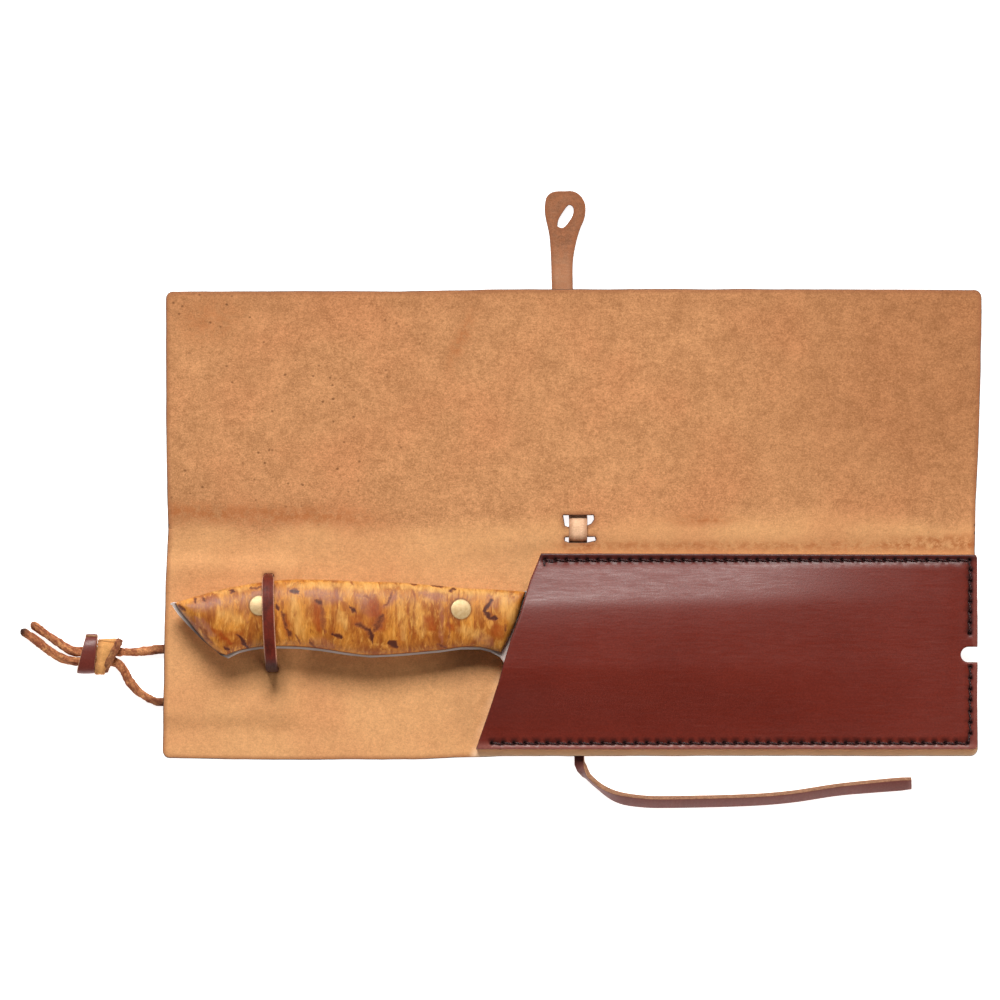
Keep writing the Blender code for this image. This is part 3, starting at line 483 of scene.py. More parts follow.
def make_studio():
    scene = bpy.context.scene
    scene.view_settings.view_transform = "Standard"
    make_light("key", (-0.3, 2.02, 2.28), (1.5, 1.1), 110.0, (1.0, 0.985, 0.96))
    make_light("fill", (2.0, -1.9, 1.05), (2.4, 0.9), 42.0, (1.0, 0.9, 0.8), False)
    make_sky(scene)
    mesh = bpy.data.meshes.new("floor")
    half = 6.0
    corners = [(-half, -half, 0.0), (half, -half, 0.0), (half, half, 0.0), (-half, half, 0.0)]
    mesh.from_pydata(corners, [], [(0, 1, 2, 3)])
    floor = add_object("floor", mesh)
    pale = bpy.data.materials.new("pale_floor")
    pale.use_nodes = True
    shader = pale.node_tree.nodes["Principled BSDF"]
    for key, value in (
        ("Base Color", (0.9, 0.9, 0.9, 1.0)), ("Roughness", 0.9), ("Emission Color", (1.0, 1.0, 1.0, 1.0)),
        ("Emission Strength", 0.9),
    ):
        shader.inputs[key].default_value = value
    mesh.materials.append(pale)


# ---------------------------------------------------------------- material nodes
def srgb(red, green, blue):
    """A colour given as 0 to 255 on a screen, as the shader's linear numbers."""
    found = []
    for part in (red, green, blue):
        part /= 255.0
        found.append(part / 12.92 if part <= 0.04045 else ((part + 0.055) / 1.055) ** 2.4)
    return (*found, 1.0)


class Nodes:
    """Short calls for one material's nodes. A value may be a number, a colour or another node's socket."""

    def __init__(self, name):
        self.material = bpy.data.materials.new(name)
        self.material.use_nodes = True
        self.tree = self.material.node_tree
        self.shader = self.tree.nodes["Principled BSDF"]

    def put(self, socket, value):
        if isinstance(value, bpy.types.NodeSocket):
            self.tree.links.new(value, socket)
        else:
            socket.default_value = value

    def set(self, **values):
        """Sets the shader's own inputs, by their names with _ for a space."""
        for key, value in values.items():
            self.put(self.shader.inputs[key.replace("_", " ")], value)

    def add(self, kind, inputs, **settings):
        """A new node's outputs."""
        node = self.tree.nodes.new("ShaderNode" + kind)
        for key, value in settings.items():
            setattr(node, key, value)
        for key, value in inputs.items():
            self.put(node.inputs[key], value)
        return node.outputs

    def read(self, name, kind="Fac"):
        return self.add("Attribute", {}, attribute_name=name)[kind]

    def rest(self, stretch=(1.0, 1.0, 1.0), turn=0.0, shift=(0.0, 0.0, 0.0)):
        inputs = {"Location": shift, "Rotation": (0.0, 0.0, turn), "Scale": stretch}
        return self.add("Mapping", {"Vector": self.read("rest", "Vector"), **inputs})["Vector"]

    def axis(self, index):
        return self.add("SeparateXYZ", {0: self.read("rest", "Vector")})[index]

    def noise(self, scale, detail=4.0, rough=0.55, bend=0.0, vector=None):
        inputs = {"Vector": vector or self.rest(), "Scale": scale, "Detail": detail, "Roughness": rough}
        return self.add("TexNoise", {**inputs, "Distortion": bend})["Fac"]

    def cells(self, scale, vector):
        return self.add("TexVoronoi", {"Vector": vector, "Scale": scale}, feature="F1")["Distance"]

    def math(self, kind, a, b=0.0):
        return self.add("Math", {0: a, 1: b}, operation=kind)[0]

    def plus(self, a, b):
        return self.math("ADD", a, b)

    def times(self, a, b):
        return self.math("MULTIPLY", a, b)

    def swing(self, value, gain):
        """The value's distance from its middle, 0.5, times the gain."""
        return self.times(self.math("SUBTRACT", value, 0.5), gain)

    def span(self, value, low, high, to_low=0.0, to_high=1.0):
        """The value eased from low..high to another range."""
        inputs = {"Value": value, "From Min": low, "From Max": high, "To Min": to_low, "To Max": to_high}
        return self.add("MapRange", inputs, interpolation_type="SMOOTHSTEP")[0]

    def mix(self, share, a, b, kind="MIX"):
        """Mixes two colours. A colour of three numbers is on the screen's scale of 0 to 255."""
        a, b = (srgb(*v) if isinstance(v, tuple) and len(v) == 3 else v for v in (a, b))
        return self.add("Mix", {"Factor": share, "A": a, "B": b}, data_type="RGBA", blend_type=kind)["Result"]

    def paint(self, share, color, kind="MIX"):
        """Lays one more colour over the ground."""
        self.ground = self.mix(share, self.ground, color, kind)

    def finish(self, normal, **values):
        """Connects the ground and the normal, sets the other values and returns the material."""
        self.set(Base_Color=self.ground, Normal=normal, **values)
        return self.material

    def bump(self, height, depth, strength=1.0, under=None):
        """Relief of that many millimetres between the height's 0 and 1."""
        inputs = {"Strength": strength, "Distance": depth * MM, "Height": height}
        if under is not None:
            inputs["Normal"] = under
        return self.add("Bump", inputs)["Normal"]


# ---------------------------------------------------------------- materials
def make_flesh(name, pale, dusk, ruddy, freckle=1.0):
    """The fibrous flesh side of vegetable-tanned leather."""
    g = Nodes(name)
    broad = g.noise(0.03, 3.0, 0.5)
    cloud = g.noise(0.12, 5.0, 0.62, 0.5)
    blotch = g.noise(0.34, 4.0, 0.6, 0.3)
    fibre = g.noise(1.0, 6.0, 0.75, 0.7)
    grit = g.noise(1.9, 3.0, 0.6, 0.2)
    hair = g.noise(0.8, 4.0, 0.7, 1.4, g.rest((0.4, 1.8, 1.0), 0.3))
    g.ground = g.mix(g.read("shade"), pale, dusk)
    g.paint(g.span(broad, 0.42, 0.72, 0.0, 0.4), ruddy)
    # painted shade: the flap darker towards its upper right corner and along its top
    g.paint(g.read("painted_flap_shade"), (168, 110, 70))
    tone = g.plus(g.times(cloud, 0.45), g.times(fibre, 0.85))
    tone = g.plus(tone, g.times(hair, 0.4))
    tone = g.plus(tone, g.times(blotch, 0.35))
    tone = g.plus(tone, g.swing(grit, 0.7))
    grey = g.swing(g.span(tone, 0.7, 1.4), g.span(g.read("shade"), 0.0, 1.0, 0.6, 1.15))
    light = g.mix(g.plus(grey, 0.5), (0.7, 0.65, 0.6, 1.0), (1.24, 1.27, 1.3, 1.0))
    g.paint(1.0, light, "MULTIPLY")
    mark = g.times(g.read("stain"), g.span(g.plus(blotch, fibre), 0.8, 1.15))
    g.paint(g.times(mark, 0.8), (168, 90, 42))
    pore = g.span(g.cells(0.24, g.rest((1.0, 1.15, 0.0))), 0.06, 0.16, 1.0, 0.0)
    lot = g.span(g.noise(0.05, 2.0, 0.5, vector=g.rest(shift=(40.0, 9.0, 0.0))), 0.4, 0.58)
    pore = g.times(g.times(pore, lot), g.read("spots"))
    g.paint(g.times(pore, 0.7 * freckle), (96, 56, 34))
    nick = g.span(g.noise(0.55, 4.0, 0.7, 2.2, g.rest((1.3, 0.6, 1.0), -0.5, (3.0, 21.0, 0.0))), 0.64, 0.72)
    nick = g.times(g.times(nick, lot), g.read("spots"))
    g.paint(g.times(nick, 0.55 * freckle), (128, 76, 48))
    rim = g.span(g.read("edge"), 0.3, 2.0, 0.55, 0.0)
    g.paint(rim, (150, 92, 62))
    # painted light: the sheet paler below the pocket and beside its mouth, where the pocket's edge and the
    # handle shade it
    g.paint(g.read("raw"), (255, 216, 178))
    height = g.plus(g.times(fibre, 0.6), g.times(hair, 0.5))
    g.set(Specular_IOR_Level=0.18, Sheen_Weight=0.12, Sheen_Roughness=0.6, Sheen_Tint=srgb(236, 200, 160))
    relief = g.bump(height, 0.28, 0.75, g.bump(cloud, 0.5, 0.35))
    return g.finish(relief, Roughness=g.span(fibre, 0.3, 0.7, 0.82, 0.97))


def make_grain(name, deep, warm, rough=0.42):
    """The smooth dyed grain side, with painted shadow in its holes, painted shade along its top seam and a
    painted sheen where it is pressed.
    """
    g = Nodes(name)
    cloud = g.noise(0.045, 3.0, 0.5)
    fine = g.noise(1.6, 5.0, 0.65, 0.3)
    crease = g.cells(1.15, g.rest((1.0, 1.35, 1.0)))
    scuff = g.noise(0.5, 5.0, 0.7, 0.8, g.rest((0.25, 2.2, 1.0), 0.12))
    g.ground = g.mix(cloud, deep, warm)
    tint = g.mix(g.span(fine, 0.3, 0.72), (0.86, 0.84, 0.84, 1.0), (1.14, 1.14, 1.14, 1.0))
    g.paint(1.0, tint, "MULTIPLY")
    g.paint(g.span(scuff, 0.6, 0.8, 0.0, 0.12), (176, 108, 88))
    # painted sheen: the strip outside the seam paler along the bottom and the closed end
    g.paint(g.times(g.read("painted_border_sheen"), g.span(fine, 0.2, 0.8, 0.5, 0.9)), (154, 94, 84))
    # painted shade along the pocket's top border and its top seam
    g.paint(g.read("dusk"), (62, 20, 17))
    # painted shadow inside the stitch holes
    g.paint(g.times(g.read("hole"), 0.93), (24, 8, 9))
    g.set(Specular_IOR_Level=0.46, Coat_Roughness=0.32)
    height = g.plus(g.times(crease, 0.5), g.times(fine, 0.5))
    relief = g.bump(height, 0.07, 0.35, g.bump(scuff, 0.12, 0.2))
    return g.finish(relief, Roughness=g.span(scuff, 0.25, 0.75, rough - 0.07, rough + 0.1))


def make_cut(name, dark, pale):
    """The cut edge of leather: pressed fibres in layers, darkened by handling."""
    g = Nodes(name)
    layer = g.noise(0.9, 4.0, 0.6, 0.4, g.rest((0.6, 0.6, 6.0)))
    fine = g.noise(1.3, 5.0, 0.7)
    g.ground = g.mix(g.span(g.plus(layer, fine), 0.7, 1.3), dark, pale)
    relief = g.bump(layer, 0.12, 0.6, g.bump(fine, 0.1, 0.5))
    return g.finish(relief, Roughness=g.span(fine, 0.3, 0.7, 0.6, 0.85), Specular_IOR_Level=0.3)


def make_lacing(name, face, edge, gloss):
    """Narrow leather lace: dyed grain on its face and raw fibres along both edges."""
    g = Nodes(name)
    fine = g.noise(1.9, 5.0, 0.7, 0.4)
    long = g.noise(0.7, 4.0, 0.6, 0.5, g.rest((2.4, 0.35, 1.0)))
    patch = g.noise(0.22, 4.0, 0.6, 0.6)
    dark, light = [0.72 * c for c in face], [min(255, 1.18 * c) for c in face]
    dyed = g.mix(g.span(g.plus(fine, patch), 0.7, 1.35), srgb(*dark), srgb(*light))
    dark, light = [0.7 * c for c in edge], [min(255, 1.2 * c) for c in edge]
    raw = g.mix(g.span(fine, 0.3, 0.72), srgb(*dark), srgb(*light))
    frayed = g.swing(fine, 0.5)
    near = g.span(g.plus(g.read("edge"), frayed), 0.1, 0.5, 1.0, 0.0)
    g.ground = g.mix(near, dyed, raw)
    # painted shade where the lace goes down to its lower hole
    g.paint(g.read("dusk"), (48, 12, 7))
    relief = g.bump(long, 0.12, 0.5, g.bump(fine, 0.1, 0.6))
    return g.finish(relief, Roughness=g.span(long, 0.3, 0.7, gloss, gloss + 0.2), Specular_IOR_Level=0.3)


def make_suede_lace():
    """Round-cut suede lace: rough brown fibres with tan and red-brown patches along it."""
    g = Nodes("suede_lace_look")
    fine = g.noise(1.7, 5.0, 0.75, 0.5)
    patch = g.noise(0.55, 4.0, 0.65, 1.0, g.rest((1.0, 0.5, 1.0)))
    other = g.noise(0.4, 4.0, 0.65, 0.8, g.rest((1.2, 0.6, 1.0), shift=(9.0, 4.0, 2.0)))
    g.ground = g.mix(g.span(patch, 0.38, 0.62), (148, 84, 56), (198, 130, 86))
    g.paint(g.span(other, 0.54, 0.7, 0.0, 0.75), (224, 166, 108))
    g.paint(g.span(other, 0.46, 0.3, 0.0, 0.7), (132, 54, 40))
    tint = g.mix(g.span(fine, 0.3, 0.7), (0.62, 0.6, 0.58, 1.0), (1.34, 1.34, 1.34, 1.0))
    g.paint(1.0, tint, "MULTIPLY")
    g.paint(g.read("dusk"), (62, 34, 26))
    relief = g.bump(patch, 0.5, 0.6, g.bump(fine, 0.35, 0.8))
    return g.finish(relief, Roughness=g.span(fine, 0.3, 0.7, 0.75, 0.95), Specular_IOR_Level=0.25)


def make_thread_look():
    g = Nodes("waxed_thread_look")
    turn = g.math("SINE", g.plus(g.times(g.axis(1), 6.2), g.times(g.axis(0), 2.0)))
    fine = g.noise(3.0, 3.0, 0.6)
    g.ground = g.mix(g.span(g.plus(turn, fine), -0.3, 1.4), (24, 8, 9), (74, 31, 30))
    rough = g.span(fine, 0.3, 0.7, 0.4, 0.62)
    return g.finish(g.bump(turn, 0.12, 0.7), Roughness=rough, Specular_IOR_Level=0.5)


def make_wood():
    """Masur birch: honey wood in upright flames with dark flecks, oiled and polished."""
    g = Nodes("burl_wood_look")
    upright = g.rest((1.0, 0.3, 0.5), 0.06)
    bands = g.noise(0.13, 4.0, 0.6, 1.2, upright)
    flame = g.noise(0.34, 5.0, 0.6, 1.6, upright)
    streak = g.noise(0.62, 4.0, 0.6, 1.2, g.rest((1.0, 0.26, 0.5), -0.05, (5.0, 0.0, 0.0)))
    silk = g.noise(1.6, 4.0, 0.6, 0.8, g.rest((1.0, 0.2, 0.4)))
    cloud = g.noise(0.08, 3.0, 0.5, 0.4)
    curl = g.noise(0.3, 5.0, 0.65, 1.8)
    bark = g.noise(1.15, 4.0, 0.7, 1.0)
    g.ground = g.mix(g.span(bands, 0.34, 0.64), (158, 84, 26), (214, 142, 56))
    g.paint(g.span(flame, 0.5, 0.68, 0.0, 0.8), (232, 168, 84))
    g.paint(g.span(flame, 0.47, 0.3, 0.0, 0.75), (140, 64, 18))
    g.paint(g.span(streak, 0.55, 0.72, 0.0, 0.4), (236, 180, 98))
    g.paint(g.span(streak, 0.44, 0.3, 0.0, 0.5), (134, 62, 20))
    g.paint(g.span(cloud, 0.5, 0.72, 0.0, 0.35), (170, 96, 50))
    plum = g.times(g.read("plum"), g.span(g.plus(curl, bark), 0.7, 1.15, 0.3, 0.95))
    g.paint(plum, (166, 106, 88))
    amber = g.times(g.read("amber"), g.span(g.plus(curl, flame), 0.65, 1.1, 0.35, 1.0))
    g.paint(amber, (160, 66, 8))
    # pale figure in the wood, and a painted highlight along the handle's top edge
    pale = g.times(g.read("pale"), g.span(flame, 0.3, 0.6, 0.25, 0.85))
    g.paint(pale, (240, 188, 112))
    sheen = g.mix(g.span(silk, 0.34, 0.66), (0.82, 0.77, 0.69, 1.0), (1.02, 0.98, 0.92, 1.0))
    g.paint(1.0, sheen, "MULTIPLY")
    tiny = g.span(g.noise(0.7, 3.0, 0.65, 2.0, g.rest((1.0, 0.55, 1.0), shift=(7.0, 3.0, 0.0))), 0.66, 0.74)
    g.paint(g.times(tiny, 0.55), (120, 62, 30))
    torn = g.swing(bark, 0.75)
    ragged = g.plus(g.plus(g.read("fleck"), torn), g.swing(curl, 0.4))
    ragged = g.times(ragged, g.span(g.read("fleck"), 0.02, 0.2))
    g.paint(g.span(ragged, 0.1, 0.55, 0.0, 0.8), (150, 80, 40))
    g.paint(g.span(ragged, 0.4, 0.95, 0.0, 0.92), (72, 31, 22))
    # painted shadow in the gaps along the scale's bottom, butt and front edges and round the pins
    g.paint(g.read("rim"), (84, 44, 24))
    g.set(Specular_IOR_Level=0.36, Coat_Weight=0.04, Coat_Roughness=0.3)
    relief = g.bump(silk, 0.05, 0.3, g.bump(ragged, -0.12, 0.3))
    return g.finish(relief, Roughness=g.span(silk, 0.3, 0.7, 0.46, 0.6))


def make_steel():
    g = Nodes("steel_look")
    brushed = g.noise(1.4, 4.0, 0.6, 0.0, g.rest((9.0, 0.35, 1.0), 0.0))
    stain = g.noise(0.06, 4.0, 0.6, 0.8)
    # the pale warm base is a painted reflection: it gives the tang and ricasso the brightness and mauve tint
    # of the lamp and leather they mirror
    g.ground = g.mix(g.span(stain, 0.4, 0.7), (0.84, 0.72, 0.68, 1.0), (0.72, 0.6, 0.56, 1.0))
    # painted shade on the steel at the butt
    g.paint(g.read("dusk"), (0.08, 0.05, 0.04, 1.0))
    g.paint(g.read("ground"), (0.33, 0.33, 0.34, 1.0))
    rough = g.span(brushed, 0.3, 0.7, 0.36, 0.52)
    return g.finish(g.bump(brushed, 0.02, 0.3), Metallic=0.55, Roughness=rough)


def make_brass():
    g = Nodes("brass_look")
    ring = g.noise(2.6, 4.0, 0.6, 0.0, g.rest((0.5, 4.0, 1.0), 0.5))
    worn = g.noise(0.8, 3.0, 0.6)
    g.ground = g.mix(g.span(worn, 0.35, 0.7), (216, 186, 138), (200, 166, 116))
    return g.finish(g.bump(ring, 0.02, 0.3), Metallic=0.3, Roughness=g.span(ring, 0.3, 0.7, 0.42, 0.56))


# ---------------------------------------------------------------- cords and camera come first
make_camera()
make_studio()

OXBLOOD = make_grain("oxblood_grain", (100, 32, 22), (118, 42, 30))
UNDER_GRAIN = make_grain("wrap_outside_grain", (98, 33, 25), (120, 46, 34), 0.45)
FLESH = make_flesh("wrap_flesh", (229, 171, 117), (200, 143, 97), (204, 134, 90))
POCKET_FLESH = make_flesh("pocket_flesh", (214, 150, 102), (190, 130, 88), (190, 120, 84))
STRAP_FLESH = make_flesh("strap_flesh", (198, 146, 112), (158, 110, 82), (150, 92, 70), 0.4)
BRIDGE_FLESH = make_flesh("strap_bridge_flesh", (240, 196, 160), (206, 156, 120), (224, 170, 134), 0.2)
CUT = make_cut("cut_edge", (66, 46, 38), (118, 84, 66))
DARK_CUT = make_cut("pocket_cut_edge", (70, 30, 26), (120, 62, 50))
TAN_CUT = make_cut("tan_cut_edge", (150, 108, 76), (206, 158, 118))
TAIL_CUT = make_cut("tail_cut_edge", (124, 84, 60), (184, 136, 104))
LACE = make_lacing("handle_lace_look", (100, 31, 16), (190, 138, 112), 0.5)
LANYARD = make_suede_lace()
WRAP_FLESH = make_flesh("lanyard_wrap_flesh", (222, 162, 98), (190, 130, 80), (196, 128, 76))
RING_GRAIN = make_grain("ring_grain", (98, 38, 30), (122, 56, 46), 0.38)
TAIL = make_grain("strap_tail_grain", (104, 50, 42), (126, 64, 56), 0.5)
WOOD = make_wood()
STEEL_LOOK = make_steel()
BRASS = make_brass()
THREAD = make_thread_look()

TAIL_ROUTE = [
    (2.8, -100.9), (2.9, -102.2), (4.9, -105.6), (9.8, -110.2), (16.2, -113.9), (24.2, -115.4), (34.7, -115.7),
    (60.6, -115.1), (76.8, -113.9), (92.9, -111.5), (105, -110.3), (119.7, -109.1),
]
STRAND_A_ROUTE = [
    (-145.8, -62, 1.7), (-149, -62.5, 1.75), (-153.5, -62.9, 2.4), (-157.5, -62.9, 3.6),
    (-161, -62.8, 4.1), (-166, -62.8, 4.1), (-171, -62.8, 4.1), (-175.4, -62.6, 4),
    (-179, -60.6, 3.2), (-183.5, -57.6, 2.1), (-187, -55.2, 1.7), (-190.2, -52.7, 1.7),
]
STRAND_B_ROUTE = [
    (-146, -80.5, 1.7), (-148.7, -79.3, 1.7), (-152.4, -76.8, 1.8), (-155.6, -73.2, 2.2),
    (-157.3, -69.9, 3.1), (-159.3, -67.2, 4), (-161.6, -66.3, 4.1), (-166, -66.3, 4.1), (-171, -66.3, 4.1),
    (-175.4, -66.1, 3.9), (-180, -64.8, 2.6), (-185, -61.6, 1.7), (-189.6, -58, 1.7), (-194, -55.2, 1.7),
]


def flat_across(path):
    return unit(np.cross(headings(path), [0.0, 0.0, 1.0]))


def rolled(path, turns):
    """Sideways directions turned about the path by the given angles."""
    side = flat_across(path)
    up = np.cross(headings(path), side)
    turns = np.asarray(turns)[:, None]
    return side * np.cos(turns) + up * np.sin(turns)


def hidden_root(path, start):
    """The path with a point before it, under the sheet, so that no gap shows where the cord comes out."""
    return np.concatenate([[start], path])


def blunt(path, reach):
    """How much of its full size a strip keeps at each point, so that its far end is rounded off."""
    steps = np.linalg.norm(np.diff(path, axis=0), axis=1)
    left = np.concatenate([np.cumsum(steps[::-1])[::-1], [0.0]])
    return np.maximum(np.sqrt(1 - (1 - np.clip(left / reach, 0, 1)) ** 2), 0.3)


def declare_cord(made, node, body="wrap"):
    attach(made, body)
    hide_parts(node)


def make_cords():
    path = smooth_path([(x, y, 1.0) for x, y in TAIL_ROUTE], 1.6)
    path = hidden_root(path, (2.75, -99.0, 1.0))
    share = np.linspace(0, 1, len(path))
    roll = 0.15 + 1.25 * soft(share, 0.015, 0.065) - 0.5 * soft(share, 0.09, 0.2)
    roll -= 0.15 * soft(share, 0.75, 1.0)
    width = (3.4 + 1.9 * soft(share, 0.015, 0.07)) * (1 - 0.12 * soft(share, 0.97, 1.0))
    path[:, 2] = 0.12 + 0.5 * width * np.sin(roll) + 0.85 * np.cos(roll)
    tail = strip("strap_tail_end", path, rolled(path, roll), width, 1.7, [TAIL, STRAP_FLESH, TAIL_CUT], 0.25)
    declare_cord(tail, "strap_tail")
    for letter, route, wide, twist, start in (
        ("a", STRAND_A_ROUTE, 3.25, 5.2, 0.35), ("b", STRAND_B_ROUTE, 3.0, 6.6, 1.15)
    ):
        path = smooth_path(route, 0.6)
        path = hidden_root(path, path[0] + np.array([2.6, 0.0, 0.0]))
        share = np.linspace(0, 1, len(path))
        wobble = np.array([noise.noise(Vector((s * 22, wide, 0))) for s in share])
        turns = start + twist * share + 0.5 * wobble
        round_end = blunt(path, 1.5)
        end = (1.0 if letter == "b" else 0.3) * soft(share, 0.93, 0.99)
        dark = np.maximum(end, 0.4 * (1 - soft(share, 0.03, 0.09)))
        width = wide * (1 + 0.1 * wobble) * round_end
        made = strip(
            f"lanyard_{letter}", path, rolled(path, turns), width, 2.55 * round_end, [LANYARD] * 3,
            1.3, 0.0, 0.26, dark,
        )
        declare_cord(made, f"lace_strand_{letter}")


make_cords()


# ---------------------------------------------------------------- the wrap
def notch(edge_x):
    """The U cut into the closed end, listed from its lower corner to its upper one."""
    centre = NOTCH_X + NOTCH_HALF
    turn = [math.radians(270 - 11.25 * i) for i in range(17)]
    curve = [(centre + NOTCH_HALF * math.cos(a), NOTCH_Y + NOTCH_HALF * math.sin(a)) for a in turn]
    return [(edge_x, NOTCH_Y - NOTCH_HALF), *curve, (edge_x, NOTCH_Y + NOTCH_HALF)]


def hand_cut(line, step, amount, fixed_y=None):
    """The outline as a knife cut it by hand: close to the pattern, but never quite straight."""
    found = []
    for x, y in resample(line, step):
        if fixed_y is not None and abs(y - fixed_y) < 1e-6:
            found.append((x, y))
            continue
        where = Vector((x * 0.09, y * 0.09, 1.7))
        small = Vector((x * 0.4, y * 0.4, 5.1))
        push = noise.noise_vector(where) * amount + noise.noise_vector(small) * amount * 0.35
        found.append((x + push.x, y + push.y))
    return found


def box_hole(x0, y0, x1, y1, lean=0.0):
    return [(x0, y0), (x1, y0), (x1 + lean, y1), (x0 + lean, y1)]


LOWER_SLIT = [(-2.2, -22.6), (8.2, -22.4), (8.5, -23.6), (5.6, -24.3), (-0.9, -24.3), (-2.3, -23.8)]
UPPER_SLIT = [
    (-2.9, -14.8), (7.7, -14.8), (7.9, -16.2), (7.0, -17.6), (5.8, -18.2), (-1.2, -18.8), (-2.3, -18.4),
]
LACE_HOLES = [box_hole(-108.0, -36.9, -105.1, -35.6), box_hole(-106.9, -69.6, -103.5, -68.0)]


def wrap_shade(x, y):
    """0 on the pale lower leather and 1 on the darker flap."""
    middle = -19.5 + 3.5 * soft(x, -60.0, 60.0)
    y_bent = y + 5.0 * lumps(zip(x, y), 0.05, 3.0)
    return np.clip(soft(y_bent, middle - 4.0, middle + 4.5) * 0.92 + 0.08 * soft(y, 0.0, 60.0), 0, 1)


def wrap_stain(x, y):
    """Rubbed and stained places: along the fold, by the strap slits and beside the handle."""
    left = 0.85 * bell(y + 14.5 + 0.03 * (x + 110), 3.6) * (1 - soft(x, -88.0, -55.0))
    right = 0.8 * bell(y + 25.6, 2.0) * soft(x, 4.0, 20.0)
    slit = 1.5 * bell(y + 25.7, 1.5) * bell(x - 3.0, 7.5)
    mid = 0.9 * bell(y + 16.5, 1.8) * bell(x - 46.0, 11.0)
    far = 0.7 * bell(y + 23.5, 2.4) * soft(x, 105.0, 125.0)
    streak = 0.9 * bell(x + 39.0 - 0.42 * (y - 47.0), 2.2) * bell(y - 47.0, 9.0)
    corner = 0.5 * bell(x + 128.0, 12.0) * bell(y - 54.0, 8.0)
    return np.clip(left + right + slit + mid + far + streak + corner, 0, 1)


def wrap_spots(x, y):
    return 0.25 + 0.75 * (1.0 - soft(x, -95.0, -25.0)) * soft(y, -25.0, 0.0)


def wrap_painted_flap_shade(x, y):
    """Painted shade: the flap darker towards its upper right corner and along its top."""
    corner = 0.6 * soft(x, 30.0, 130.0) * soft(y, -30.0, 20.0)
    return np.maximum(corner, 0.25 * soft(y, 50.0, 64.0))


def wrap_painted_light(x, y):
    """Painted light: the sheet paler below the pocket and beside its mouth, where the pocket's edge and the
    handle shade it.
    """
    below = soft(-y, 96.6, 97.3) * soft(x, -36.0, -33.0)
    beside = 0.3 * (1 - soft(line_distance((x, y), MOUTH), 0.0, 1.8)) * soft(-y, 66.0, 74.0)
    return np.maximum(below, beside)


SHEET_MARKS = {
    "shade": wrap_shade, "stain": wrap_stain, "spots": wrap_spots, "painted_flap_shade": wrap_painted_flap_shade, "raw": wrap_painted_light,
}


def wrap_outlines():
    """The two sheets' outlines. They meet on one line between the slits."""
    seam = [(at(RIGHT_EDGE, SPLIT_Y), SPLIT_Y), (at(LEFT_EDGE, SPLIT_Y), SPLIT_Y)]
    lower = round_corner(LEFT_EDGE[0], BOTTOM_LEFT, BOTTOM_EDGE[0], CORNER_RADIUS) + BOTTOM_EDGE
    lower += round_corner(BOTTOM_EDGE[-1], BOTTOM_RIGHT, RIGHT_EDGE[0], CORNER_RADIUS)
    lower += [*notch(BOTTOM_RIGHT[0]), *RIGHT_EDGE[:2], *seam, *LEFT_EDGE[1::-1]]
    upper = [*seam[::-1], *RIGHT_EDGE[2:]]
    upper += round_corner(RIGHT_EDGE[-1], TOP_RIGHT, TOP_EDGE[0], CORNER_RADIUS) + TOP_EDGE
    upper += [*round_corner(TOP_EDGE[-1], TOP_LEFT, LEFT_EDGE[-1], CORNER_RADIUS), *LEFT_EDGE[:1:-1]]
    return lower, upper


def make_wrap():
    lower, upper = wrap_outlines()
    for name, outline, slits, nodes, bodies, span, tall in (
        ("wrap_lower", lower, [LOWER_SLIT, *LACE_HOLES], ["base_panel", "spine_panel"], ("wrap", "spine"),
         SPINE_BEND, 81.3),
        ("wrap_upper", upper, [UPPER_SLIT], ["flap_panel"], ("spine", "flap"), FLAP_BEND, 84.5),
    ):
        made = cut_leather(
            name, hand_cut(outline, 2.0, 0.16, SPLIT_Y), [resample(h, 0.8) for h in slits], 2.2,
            panel_face, rise, [FLESH, UNDER_GRAIN, CUT], attributes=SHEET_MARKS, joined_y=SPLIT_Y, reach=0.62,
        )
        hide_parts(*nodes)
        bend(made, *bodies, span)


def bend(made, first, second, span):
    ends = [tuple(world((0.0, y, LEATHER / 2))) for y in span]
    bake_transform(made)


def settle(made, body, slot, *nodes):
    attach(made, body)
    if nodes:
        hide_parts(*nodes)


# ---------------------------------------------------------------- seam
def evenly(start, end, count):
    return [tuple(np.array(start) + (np.array(end) - start) * i / count) for i in range(count + 1)]


TOP_HOLES = evenly((-9.3, -30.6), (139.9, -30.6), 40) + evenly((140.3, -34.2), (140.0, -56.3), 6)
LOW_HOLES = evenly((-28.0, -95.0), (139.2, -95.0), 43) + evenly((140.2, -91.6), (140.2, -68.2), 6)
# the extra stitches that lock each seam at the pocket's mouth
TOP_LOOPS = [((-9.3, -30.4), (-9.6, -33.4)), ((-9.9, -33.4), (-9.5, -30.4)), ((-9.2, -31.1), (-5.5, -31.1))]
LOW_LOOPS = [((-28.0, -95.0), (-24.1, -95.2))]


def seam_dent(x, y):
    """How far the stitches press into the pocket front."""
    deep = np.zeros(len(x))
    for holes in (TOP_HOLES, LOW_HOLES):
        deep = np.maximum(deep, 0.5 * (1 - soft(line_distance((x, y), holes), 0.2, 1.3)))
        for hx, hy in holes:
            near = np.hypot(x - hx, y - hy)
            deep = np.maximum(deep, 1.35 * (1 - soft(near, 0.15, 0.95)))
    return deep


# Painted shadow in each stitch hole.
def hole_painted_shadow(x, y):
    dark = np.zeros(len(x))
    for hx, hy in TOP_HOLES + LOW_HOLES:
        dark = np.maximum(dark, 1 - soft(np.hypot(x - hx, y - hy - 0.25), 0.7, 1.2))
    return dark


def border_painted_sheen(x, y):
    """The pressed strip outside the seam, with a painted sheen that makes it paler along the bottom and the
    closed end.
    """
    low = 1 - soft(y, -96.2, -94.2)
    end = 0.45 * soft(x, 140.9, 141.8) * (1 - soft(y, -40.0, -30.0) * 0.6)
    return np.clip(np.maximum(low, end), 0, 1)


